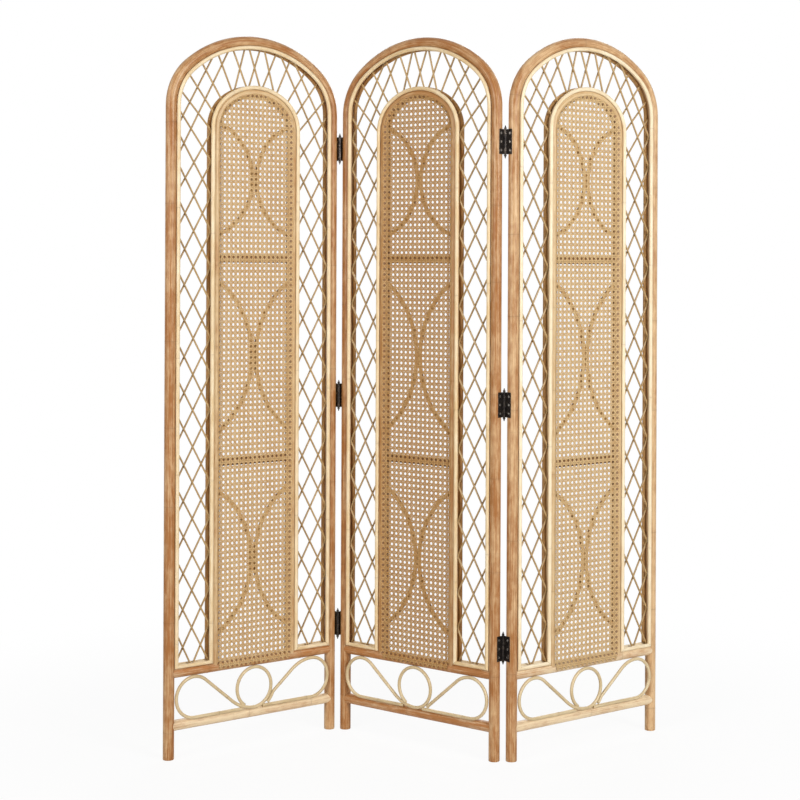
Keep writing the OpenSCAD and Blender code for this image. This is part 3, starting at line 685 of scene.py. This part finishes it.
class SCREEN_OT_inner_poles(bpy.types.Operator):
    """Bend the inner pole of each panel, with its feet coped over the upper rail"""

    bl_idname = "screen.inner_poles"
    bl_label = "Inner poles"

    def execute(self, context):
        s = sizes()
        radius = s.rail_r + COPE
        low_start = s.upper_rail_z + s.rail_r - 0.001
        foot = reshape(2, lambda ring: (
            s.upper_rail_z + np.sqrt(np.maximum(radius ** 2 - ring[:, 1] ** 2, 1e-8))))
        touch = math.degrees(math.atan2(s.liner_n, liner_off(s.inner_r, s.snug)))

        def shade_under_liners_and_webbing(rings, angles):
            """Painted shade where the liners lie, and under the webbing's edge."""
            return np.maximum(groove(angles, touch, -touch, wide=CONTACT_SHADE_WIDTH), within(angles, 110, 150, 8))

        for side, pole in each_panel(21):
            pole.cane(arch_run("inner", 0, 0, low_start), s.inner_r, sides=36, knot_gap=s.knot_gap,
                      ridge=0.00008, tone=TONES["inner_pole"][side], start=foot, end=foot, painted_shade=shade_under_liners_and_webbing)
            hang(pole, side, "inner_pole", "inner_pole", "inner_frame")
        return {"FINISHED"}


class SCREEN_OT_liners(bpy.types.Operator):
    """Lay the light liners in front of and behind the lattice's channels"""

    bl_idname = "screen.liners"
    bl_label = "Liners"

    def execute(self, context):
        s = sizes()
        sill_z = sill_height()
        base = sill_z + s.liner_r + MITRE
        for kind, pole_x, off, slant in (("outer", s.leg_x, -liner_off(s.outer_r, s.snug), -1),
                                         ("inner", s.inner_x, liner_off(s.inner_r, s.snug), 1)):
            middle = pole_x + off
            mitred = reshape(2, lambda ring: sill_z + slant * (np.abs(ring[:, 0]) - middle) + COPE)
            for k, side in enumerate(PANELS):
                for face, n, finish in (("front", s.liner_n, "liner"), ("back", -s.liner_n, "shaded_back_liner")):
                    # Painted shade on the liner's side that faces its pole, where shade falls in the joint.
                    toward = math.degrees(math.atan2(-n, -off))
                    liner = Bundle(31 + 7 * k + (n > 0) + 2 * (kind == "outer"))
                    liner.cane(arch_run(kind, off, n, base), s.liner_r, sides=20, step=0.009,
                               knot_gap=0.34, ridge=0.0, tone=TONES["liner"][side],
                               start=mitred, end=mitred,
                               painted_shade=lambda rings, angles: groove(angles, toward, wide=26))
                    hang(liner, side, f"{kind}_lining_{face}", finish, f"{kind}_liner_{face}")
        return {"FINISHED"}


class SCREEN_OT_sill_strips(bpy.types.Operator):
    """Lay the four mitred strips on each upper rail"""

    bl_idname = "screen.sill_strips"
    bl_label = "Sill strips"

    def execute(self, context):
        s = sizes()
        sill_z = sill_height()
        far = s.leg_x - liner_off(s.outer_r, s.seat)
        near = s.inner_x + liner_off(s.inner_r, s.seat)
        first, last = near + s.liner_r + MITRE, far - s.liner_r - MITRE
        for side, strips in each_panel(61):
            for hand in (-1, 1):
                def cut(place, slant):
                    return reshape(0, lambda ring: hand * (place + slant * (ring[:, 2] - sill_z)))
                for n in (s.liner_n, -s.liner_n):
                    strips.cane(Run([line((hand * first, sill_z), (hand * last, sill_z))], n), s.liner_r,
                                step=0.009, ridge=0.0002, tone=TONES["sills"][side],
                                start=cut(near, 1), end=cut(far, -1))
            hang(strips, side, "sills", "liner", "sill_strips")
        return {"FINISHED"}


class SCREEN_OT_rails(bpy.types.Operator):
    """Cope the two rails of each panel between its legs"""

    bl_idname = "screen.rails"
    bl_label = "Rails"

    def execute(self, context):
        s = sizes()
        near = s.leg_x - s.outer_r - LEAD
        foot = 0.105  # half the width of the webbing's foot
        edges = [near + hand * d for hand in (-1, 1) for d in (foot - 0.0005, foot + 0.0015)]

        def shade_under_webbing_foot(rings, angles):
            """Painted shade under the webbing's foot."""
            middle = rings[..., 0].mean(axis=1, keepdims=True)
            return 0.8 * within(middle, -foot, foot, 0.001) * within(angles, 38, 104, 9)

        for k, side in enumerate(PANELS):
            for j, (part, z, painted_shade) in enumerate((("upper_rail", s.upper_rail_z, shade_under_webbing_foot),
                                                 ("lower_rail", s.lower_rail_z, None))):
                rail = Bundle(71 + 5 * k + j)
                rail.cane(Run([line((-near, z), (near, z))]), s.rail_r, sides=36, knot_gap=s.knot_gap,
                          uneven=0.00015, tone=TONES[part][side], stops=edges, painted_shade=painted_shade,
                          **coped(s.leg_x, s.outer_r))
                hang(rail, side, f"{part}_pole", "rail", part)
        return {"FINISHED"}


class SCREEN_OT_cross_bars(bpy.types.Operator):
    """Cope the two cross bars of each panel between the inner legs"""

    bl_idname = "screen.cross_bars"
    bl_label = "Cross bars"

    def execute(self, context):
        s = sizes()
        near = s.inner_x - s.inner_r - LEAD

        def shaded(rings, angles):
            """Painted shade on the side that faces the webbing."""
            return 0.75 * within(angles, 40, 140, 20)

        for side, bars in each_panel(91):
            for z in (s.lower_bar_z, s.upper_bar_z):
                bars.cane(Run([line((-near, z), (near, z))], -s.bar_back), s.bar_r, sides=24, knot_gap=0.2,
                          uneven=0.0001, painted_shade=shaded, **coped(s.inner_x, s.inner_r + COPE))
            hang(bars, side, "bars", "bar", "cross_bars")
        return {"FINISHED"}


class SCREEN_OT_braces(bpy.types.Operator):
    """Bend the three back-to-back pairs of braces behind each webbing"""

    bl_idname = "screen.braces"
    bl_label = "Braces"

    def execute(self, context):
        s = sizes()
        near = s.brace_r + s.seat / 2
        sag = s.inner_x - s.inner_r - near
        end_x = s.inner_x - 0.019  # where a brace's centre line stops, short of the inner leg's
        for side, rods in each_panel(101):
            for z, half in BRACE_PAIRS:
                radius = (half ** 2 + sag ** 2) / (2 * sag)
                turn = math.degrees(math.acos((near + radius - end_x) / radius))
                for hand, middle in ((1, 180), (-1, 0)):
                    run = Run([arc((hand * (near + radius), z), radius, middle + turn, middle - turn)],
                              s.brace_n)

                    def met(far):
                        """Draws the end ring along the brace to the round side of the inner leg."""
                        def fit(ring):
                            way = run.along(np.array([far]))[0]
                            x = hand * (s.inner_x - np.sqrt((s.inner_r + COPE) ** 2 - ring[:, 1] ** 2))
                            return ring + ((x - ring[:, 0]) / way[0])[:, None] * way
                        return fit

                    rods.cane(run, s.brace_r, sides=14, step=0.008, knot_gap=0.16, ridge=0.0002,
                              start=met(0.0), end=met(run.long))
            hang(rods, side, "bent_rods", "rod", "braces")
        return {"FINISHED"}


class SCREEN_OT_lattice(bpy.types.Operator):
    """Wind the long canes of each panel's lattice through their turns"""

    bl_idname = "screen.lattice"
    bl_label = "Lattice"

    def canes(self, chance):
        """The turns of every cane of a panel, as (u, z) points."""
        s, w = sizes(), weave()
        turn_off = s.seat + 1.2 * w.cane_r
        outer_off, inner_off = -(s.outer_r + turn_off), s.inner_r + turn_off
        outer_edge, inner_edge = s.leg_x + outer_off, s.inner_x + inner_off
        low = s.upper_rail_z + s.rail_r + s.seat + w.cane_r

        def stray():
            return chance.uniform(-w.wander, w.wander)

        def height(k):
            return low + w.cane_pitch * k - w.cane_closer * max(0, k - w.last_even) ** 2

        def climb(hand, first, last, outward):
            turns = []
            for k in range(first, last + 1, 2):
                out = ((k - first) % 4 == 0) == outward
                turns.append((hand * (outer_edge if out else inner_edge), height(k) + (stray() if k else 0)))
            return turns

        def outer(k):
            return arch_at("outer", k * w.outer_turn + stray(), outer_off)

        def inner(k):
            return arch_at("inner", k * w.inner_turn + stray(), inner_off)

        def long_cane(h):
            return (climb(-h, 0, 14, False)
                    + [outer(-1.5 * h), inner(-0.5 * h), outer(0.5 * h), inner(1.5 * h), outer(2.5 * h)]
                    + climb(h, 1, 15, False)[::-1] + [(h * (outer_edge + inner_edge) / 2, low)]
                    + climb(h, 1, 15, True) + [outer(5.5 * h)])

        def side_cane(h):
            return climb(h, 0, 14, True) + [outer(6.5 * h)]

        short = [[outer(h * k), inner(h * (k - 1))] for k in (3.5, 4.5) for h in (-1, 1)]
        return [long_cane(1), long_cane(-1), side_cane(1), side_cane(-1)] + short

    def wind(self, turns):
        """A smooth path through the turns: falling runs in front, rising runs behind."""
        w = weave()
        layer = w.cane_r + sizes().seat / 2
        p = np.array(turns)
        last = len(p) - 1

        def unit(v):
            return v / np.linalg.norm(v)

        def put(spot, i):
            falling = (p[i + 1][0] - p[i][0]) * (p[i + 1][1] - p[i][1]) < 0
            return np.array((spot[0], -layer if falling else layer, spot[1]))

        corners = [put(p[0], 0)]
        for i in range(1, last):
            half = unit(unit(p[i] - p[i - 1]) + unit(p[i + 1] - p[i])) * w.turn_long / 2
            corners += [put(p[i] - half, i - 1), put(p[i] + half, i)]
        corners.append(put(p[last], last - 1))
        dots = [corners[0]]
        rounding = 0.46 * w.turn_long
        for a, b, c in zip(corners, corners[1:], corners[2:]):
            back, fore = b + unit(a - b) * rounding, b + unit(c - b) * rounding
            for f in (0.0, 0.25, 0.5, 0.75, 1.0):
                dots.append(back * (1 - f) ** 2 + b * 2 * f * (1 - f) + fore * f ** 2)
        return np.array(dots + [corners[-1]])

    def follow(self, bundle, dots, radius, sides=8):
        """Sweeps a cane through given dots, with rings only where it turns and at each 50 mm."""
        bend, longest, shortest = 0.02, 0.05, 0.0006
        keep = [0]
        for i in range(1, len(dots) - 1):
            a, b = dots[i] - dots[keep[-1]], dots[i + 1] - dots[i]
            gap = np.linalg.norm(a)
            turn = np.linalg.norm(np.cross(a / max(gap, 1e-9), b / max(np.linalg.norm(b), 1e-9)))
            if (turn > bend or gap > longest) and gap > shortest:
                keep.append(i)
        keep.append(len(dots) - 1)
        dots = dots[keep]
        step = np.diff(dots, axis=0)
        steps = np.linalg.norm(step, axis=1)
        unit = step / steps[:, None]
        way = np.vstack((unit[:1], unit[1:] + unit[:-1], unit[-1:]))
        way /= np.linalg.norm(way, axis=1)[:, None]
        far = np.concatenate(([0.0], np.cumsum(steps))) + bundle.chance.uniform(0, 3)
        rings, skin, _ = sweep(dots, way, radius, radius, far, sides)
        bundle.rings(rings, skin, np.full(len(dots), NO_KNOT), 0.5 + bundle.chance.uniform(-0.15, 0.15))

    def execute(self, context):
        for side, bundle in each_panel(121):
            for turns in self.canes(bundle.chance):
                self.follow(bundle, self.wind(turns), weave().cane_r)
            hang(bundle, side, "lattice_canes", "lattice", "lattice")
        return {"FINISHED"}


class Sheet:
    """One panel's webbing, woven in columns and rows and laid over the inner pole and the rail."""

    def __init__(self, bundle, gaps, shade):
        s, w = sizes(), weave()
        self.bundle, self.gaps, self.shade = bundle, gaps, shade
        off_pole, off_rail = 0.0006, 0.0008  # how far the sheet's middle lies off what carries it
        self.pole_skin = s.inner_r + off_pole
        self.bend = s.rail_r + off_rail
        self.crease = s.upper_rail_z + math.sqrt(self.bend ** 2 - w.web_n ** 2)

    def spread(self, spots):
        """Turns weave places (columns, rows) into places on the sheet (u, z)."""
        w = weave()
        half = self.gaps / 2
        c = np.abs(spots[:, 0])
        u = np.interp(c, (0, half, half + 1, half + 1.5), (0, w.web_hole, w.web_rim, w.web_edge))
        u = u + np.maximum(c - half - 1.5, 0) * 2 * (w.web_edge - w.web_rim)
        return np.column_stack((np.sign(spots[:, 0]) * u, w.web_base + spots[:, 1] * w.web_rise))

    def lay(self, flat, level):
        """Lays places of the sheet (u, z) in front of the panel, over the inner pole and the rail."""
        s, w = sizes(), weave()
        gap = rim_gap(flat[:, 0], flat[:, 1])
        raised = np.maximum(w.web_n, np.sqrt(np.maximum(self.pole_skin ** 2 - gap ** 2, 0)))
        turned = math.acos(w.web_n / self.bend) - np.maximum(self.crease - flat[:, 1], 0) / self.bend
        below = flat[:, 1] < self.crease
        y = np.where(below, (self.bend + level) * np.cos(turned), raised + level)
        z = np.where(below, s.upper_rail_z + (self.bend + level) * np.sin(turned), flat[:, 1])
        return np.column_stack((flat[:, 0], -y, z))

    def kept(self, flat):
        """Which places lie on the webbing: inside its rim, and above the end of its foot."""
        w = weave()
        foot_cover = 0.0075  # the same as web_cover, for the narrower foot
        off = np.where(flat[:, 1] < self.crease + 0.001, -foot_cover, -w.web_cover)
        return (rim_gap(flat[:, 0], flat[:, 1]) < off) & (flat[:, 1] > self.crease - w.web_lip)

    def strand(self, start, way, level_at, wide):
        """Weaves one strand, cut to the sheet: flat behind and rounded in front."""
        w = weave()
        stride, least, shortest = 0.5, 0.0009, 0.004
        start, way = np.array(start), np.array(way)

        def spots(t):
            return start + np.atleast_1d(t)[:, None] * way

        t = np.arange(-240, 240) * stride
        hits = t[self.kept(self.spread(spots(t)))]
        if len(hits) < 2:
            return
        ends = []
        for inside, outside in ((hits[0], hits[0] - stride), (hits[-1], hits[-1] + stride)):
            for _ in range(14):
                middle = (inside + outside) / 2
                if self.kept(self.spread(spots(middle)))[0]:
                    inside = middle
                else:
                    outside = middle
            ends.append(inside)
        long = np.linalg.norm(way * w.web_rise)
        if (ends[1] - ends[0]) * long < shortest:
            return
        near = np.array((0.0024, 0.0048, 0.0070, 0.0095)) / long  # closer rings where it bends over the pole
        more = [hits, ends[0] + near, ends[1] - near]
        if way[1]:  # and where it bends over the rail
            heights = np.arange(self.crease - w.web_lip, self.crease + 0.001, 0.0026)
            more.append(((heights - w.web_base) / w.web_rise - start[1]) / way[1])
        more = np.sort(np.concatenate(more))
        more = more[(more > ends[0] + least / long) & (more < ends[1] - least / long)]
        more = more[np.diff(more, prepend=-np.inf) > least / long]
        t = np.concatenate(([ends[0]], more, [ends[1]]))
        flat = self.spread(spots(t))
        level = level_at(*spots(t).T)
        along = np.gradient(flat, axis=0)
        along /= np.linalg.norm(along, axis=1)[:, None]
        across = np.column_stack((along[:, 1], -along[:, 0])) * wide / 2
        edge, crown = level - w.web_thick * 0.35, level + w.web_thick * 0.5
        rings = np.stack((self.lay(flat - across, edge), self.lay(flat, crown),
                          self.lay(flat + across, edge)), axis=1)
        skin = np.empty_like(rings)
        skin[:, :, 0] = np.array((-0.5, 0.0, 0.5)) * wide
        skin[:, :, 1] = np.array((0.0, 1.0, 0.0)) * w.web_thick
        skin[:, :, 2] = (t * long + self.bundle.chance.uniform(0, 3))[:, None]
        tone = self.shade + self.bundle.chance.uniform(-0.25, 0.25)
        # Painted shade along both edges of each strand, where shade falls between the strands.
        self.bundle.rings(rings, skin, np.full(len(t), NO_KNOT), tone, np.array((1.0, 0.0, 1.0)))


class SCREEN_OT_webbing(bpy.types.Operator):
    """Weave the six-way cane webbing, strand by strand, and bend its foot over the rail"""

    bl_idname = "screen.webbing"
    bl_label = "Cane webbing"

    def execute(self, context):
        w = weave()
        wave, slant, apart = 0.00042, 0.0005, 0.0002
        for side, bundle in each_panel(151):
            gaps = WEB_GAPS[side]
            shift = gaps / 2 + 0.5
            pitch = 2 * w.web_hole / gaps
            sheet = Sheet(bundle, gaps, TONES["webbing"][side])

            def upright(c, d):
                return wave * np.cos(2 * np.pi * d)

            def level(c, d):
                return -wave * np.cos(2 * np.pi * (c - shift))

            def falling(c, d):
                return slant * np.cos(2 * np.pi * (c - shift)) + apart

            def rising(c, d):
                return slant * np.cos(2 * np.pi * (c - shift)) - apart

            for c in np.arange(-shift - 1, shift + 1.5):
                for d in (-w.web_pair, w.web_pair):
                    sheet.strand((c + d / pitch, 40), (0, 1), upright, w.web_wide * 0.9)
            for row in range(-2, 104):
                for d in (-w.web_pair, w.web_pair):
                    sheet.strand((shift, row + d / w.web_rise), (1, 0), level, w.web_wide * 0.9)
            for row in range(-12, 114):
                for way, height in (((1, 1), rising), ((1, -1), falling)):
                    sheet.strand((shift % 1, row + 0.5), way, height, w.web_wide)
            hang(bundle, side, "cane_webbing", "webbing", "webbing")
        return {"FINISHED"}


class SCREEN_OT_scrolls(bpy.types.Operator):
    """Bend the scroll of each panel: two loops and the ring between them"""

    bl_idname = "screen.scrolls"
    bl_label = "Scrolls"

    def execute(self, context):
        s, w = sizes(), weave()
        on_rail = beside(s.rail_r, w.scroll_r, w.scroll_n, s.seat)
        top, low = s.upper_rail_z - on_rail, s.lower_rail_z + on_rail
        ring_r, ring_z = (top - low) / 2, (top + low) / 2
        loop_x = s.leg_x - beside(s.outer_r, w.scroll_r, w.scroll_n, s.seat) - ring_r
        slope, tilt = w.scroll_slope, math.degrees(w.scroll_slope)
        sin, cos = math.sin(slope), math.cos(slope)
        sweep_r = (low * cos - (ring_r + ring_z * cos - loop_x * sin)) / (1 - cos)
        sweep_z = low + sweep_r
        close = 2 * w.scroll_r + s.seat
        between = sweep_r - ring_r
        ring_end = math.degrees(math.acos(
            ((sweep_r - close) ** 2 - ring_r ** 2 - between ** 2) / (2 * ring_r * between)))
        past_end, hug_end = 16, -47  # degrees: the ring's run past its start, and the right cane's end
        left_lap, right_lap = 0.006, 0.007  # how far the two lower ends run on beside the ring's cane
        left_end = math.sqrt(sweep_r ** 2 - (sweep_r - close) ** 2) - left_lap
        right_end = math.sqrt((ring_r + close) ** 2 - ring_r ** 2) - right_lap
        ringed = Run([
            line((-left_end, low), (-loop_x, low)),
            arc((-loop_x, ring_z), ring_r, 270, 90 - tilt),
            line((ring_r * sin - loop_x, ring_z + ring_r * cos), (-sweep_r * sin, sweep_z - sweep_r * cos)),
            arc((0, sweep_z), sweep_r, 270 - tilt, 270),
            arc((0, ring_z), ring_r, -90, 270 - ring_end + past_end),
        ], w.scroll_n)
        for side, scroll in each_panel(171):
            shoulder = SHOULDERS[side]
            leave = np.array((loop_x - shoulder * sin, top - shoulder * (1 - cos)))
            down = -np.array((cos, sin))
            hug = ring_r + 2 * w.scroll_r
            middle = np.array((0, ring_z))
            past = np.dot(middle - leave, down)
            aside = np.linalg.norm(middle - leave - past * down)
            meet = leave + (past - math.sqrt(hug ** 2 - aside ** 2)) * down
            single = Run([
                line((right_end, low), (loop_x, low)),
                arc((loop_x, ring_z), ring_r, -90, 90),
                arc((loop_x, top - shoulder), shoulder, 90, 90 + tilt),
                line(leave, meet),
                arc((0, ring_z), hug, math.degrees(math.atan2(meet[1] - ring_z, meet[0])), hug_end),
            ], w.scroll_n)
            for run in (ringed, single):
                scroll.cane(run, w.scroll_r, step=0.005, knot_gap=0.3, ridge=0.00025, round_ends=0.0008)
            hang(scroll, side, "scroll_cane", "scroll", "scroll")
        return {"FINISHED"}


class SCREEN_OT_hinges(bpy.types.Operator):
    """Give the hinges, pins and screws their metal"""

    bl_idname = "screen.hinges"
    bl_label = "Hinges"

    def execute(self, context):
        given = colours()
        finishes = {
            "leaf": metal_finish("Bronzed hinge", given.bronze, given.bronze_rub, 0.35, 0.24, 0.75),
            "pins": metal_finish("Bronzed pin", given.bronze, given.bronze_rub, 0.5, 0.28, 0.75),
            "screws": metal_finish("Screw steel", given.steel, given.steel, 0.5, 0.22, 1.0),
        }
        for name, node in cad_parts.items():
            for word, finish in finishes.items():
                if word in name:
                    slots = node.data.materials
                    for slot in range(len(slots)):
                        slots[slot] = finish
                    if not len(slots):
                        slots.append(finish)
        return {"FINISHED"}


class SCREEN_OT_stage(bpy.types.Operator):
    """Set up the floor, the lamps and the camera"""

    bl_idname = "screen.stage"
    bl_label = "Stage"

    lamps = (("Key", (3.1, -3.6, 2.5), 1.5, 2.4, 168), ("Fill", (-2.9, -3.6, 2.2), 1.6, 2.4, 104),
             ("Back", (0.4, 3.4, 2.6), 2.6, 1.8, 62))
    aim = (0, 0, 0.9)
    lens, shift, roll, eye = 78.40, (-0.03158, -0.16540), 0.258, (0.015085, -4.4389, 1.2138)

    def floor(self):
        half = 14.0
        mesh = bpy.data.meshes.new("studio_floor")
        mesh.from_pydata([(-half, -half, 0), (half, -half, 0), (half, half, 0), (-half, half, 0)], [],
                         [(0, 1, 2, 3)])
        show("studio_floor", mesh)
        paper = bpy.data.materials.new("Studio paper")
        paper.use_nodes = True
        nodes = paper.node_tree.nodes
        net = Net(paper.node_tree)
        shader = nodes["Principled BSDF"]
        net.feed(shader, {"Base Color": (*colours().floor, 1), "Roughness": 0.8, "Specular IOR Level": 0.1})
        white = net.add("ShaderNodeEmission", {"Strength": 1.0})
        place = net.add("ShaderNodeTexCoord").outputs["Object"]
        far = net.add("ShaderNodeVectorMath", {0: place}, operation="LENGTH").outputs["Value"]
        fade = net.ramp(far, 0.7, 1.9, 0.92, 1.0)
        seen = net.add("ShaderNodeLightPath").outputs["Is Camera Ray"]
        blend = net.add("ShaderNodeMixShader", {
            0: net.times(fade, seen), 1: shader.outputs["BSDF"], 2: white.outputs["Emission"]})
        net.feed(nodes["Material Output"], {"Surface": blend.outputs["Shader"]})
        mesh.materials.append(paper)

    def lamp(self, name, place, width, height, power):
        data = bpy.data.lights.new(name, "AREA")
        data.shape = "RECTANGLE"
        data.size, data.size_y = width, height
        data.energy = power
        back = np.array(place, dtype=float) - self.aim
        back /= np.linalg.norm(back)
        right = np.cross((0, 0, 1.0), back)
        right /= np.linalg.norm(right)
        up = np.cross(back, right)
        turn = Matrix([[right[k], up[k], back[k], place[k]] for k in range(3)] + [[0, 0, 0, 1]])
        show(name, data).matrix_world = turn

    def sky(self):
        world = bpy.data.worlds.new("Studio")
        bpy.context.scene.world = world
        world.use_nodes = True
        net = Net(world.node_tree)
        path = net.add("ShaderNodeLightPath").outputs
        seen = net.math("MAXIMUM", path["Is Camera Ray"], path["Is Glossy Ray"])
        seen = net.math("MAXIMUM", seen, path["Is Transmission Ray"])
        net.feed(world.node_tree.nodes["Background"], {
            "Color": (1, 1, 1, 1), "Strength": net.ramp(seen, 0.0, 1.0, 0.19, 1.0)})

    def camera(self):
        data = bpy.data.cameras.new("Camera")
        data.lens = self.lens
        data.sensor_width = 36.0
        data.sensor_fit = "HORIZONTAL"
        data.shift_x, data.shift_y = self.shift
        data.clip_end = 60
        made = show("Camera", data)
        x, y, z = self.eye
        roll = math.radians(self.roll)
        made.matrix_world = Matrix((
            (math.cos(roll), -math.sin(roll), 0, x),
            (0, 0, -1, y),
            (math.sin(roll), math.cos(roll), 0, z),
            (0, 0, 0, 1)))
        bpy.context.scene.camera = made

    def execute(self, context):
        context.scene.view_settings.view_transform = "Standard"
        self.floor()
        self.sky()
        for lamp in self.lamps:
            self.lamp(*lamp)
        self.camera()
        return {"FINISHED"}


class SCREEN_PT_panel(bpy.types.Panel):
    """Lists the screen's pieces and sizes"""

    bl_idname = "SCREEN_PT_panel"
    bl_label = "Folding Screen"
    bl_space_type = "VIEW_3D"
    bl_region_type = "UI"
    bl_category = "Screen"

    def draw(self, context):
        layout = self.layout
        for made in OPERATORS:
            layout.operator(made.bl_idname)
        for label, given in (("Frame", sizes()), ("Weave", weave()), ("Colours", colours())):
            box = layout.box()
            box.label(text=label)
            for name in given.__annotations__:
                box.prop(given, name)


OPERATORS = (
    SCREEN_OT_stage, SCREEN_OT_outer_poles, SCREEN_OT_inner_poles, SCREEN_OT_liners, SCREEN_OT_sill_strips,
    SCREEN_OT_rails, SCREEN_OT_cross_bars, SCREEN_OT_braces, SCREEN_OT_lattice, SCREEN_OT_webbing,
    SCREEN_OT_scrolls, SCREEN_OT_hinges,
)
CLASSES = (ScreenFrameSizes, ScreenWeaveSizes, ScreenColours) + OPERATORS + (SCREEN_PT_panel,)


def register():
    for made in CLASSES:
        bpy.utils.register_class(made)
    bpy.types.Scene.screen_frame = PointerProperty(type=ScreenFrameSizes)
    bpy.types.Scene.screen_weave = PointerProperty(type=ScreenWeaveSizes)
    bpy.types.Scene.screen_colours = PointerProperty(type=ScreenColours)


def unregister():
    del bpy.types.Scene.screen_frame
    del bpy.types.Scene.screen_weave
    del bpy.types.Scene.screen_colours
    for made in reversed(CLASSES):
        bpy.utils.unregister_class(made)


def main():
    register()
    for made in OPERATORS:
        family, word = made.bl_idname.split(".")
        getattr(getattr(bpy.ops, family), word)()


if __name__ == "__main__":
    main()
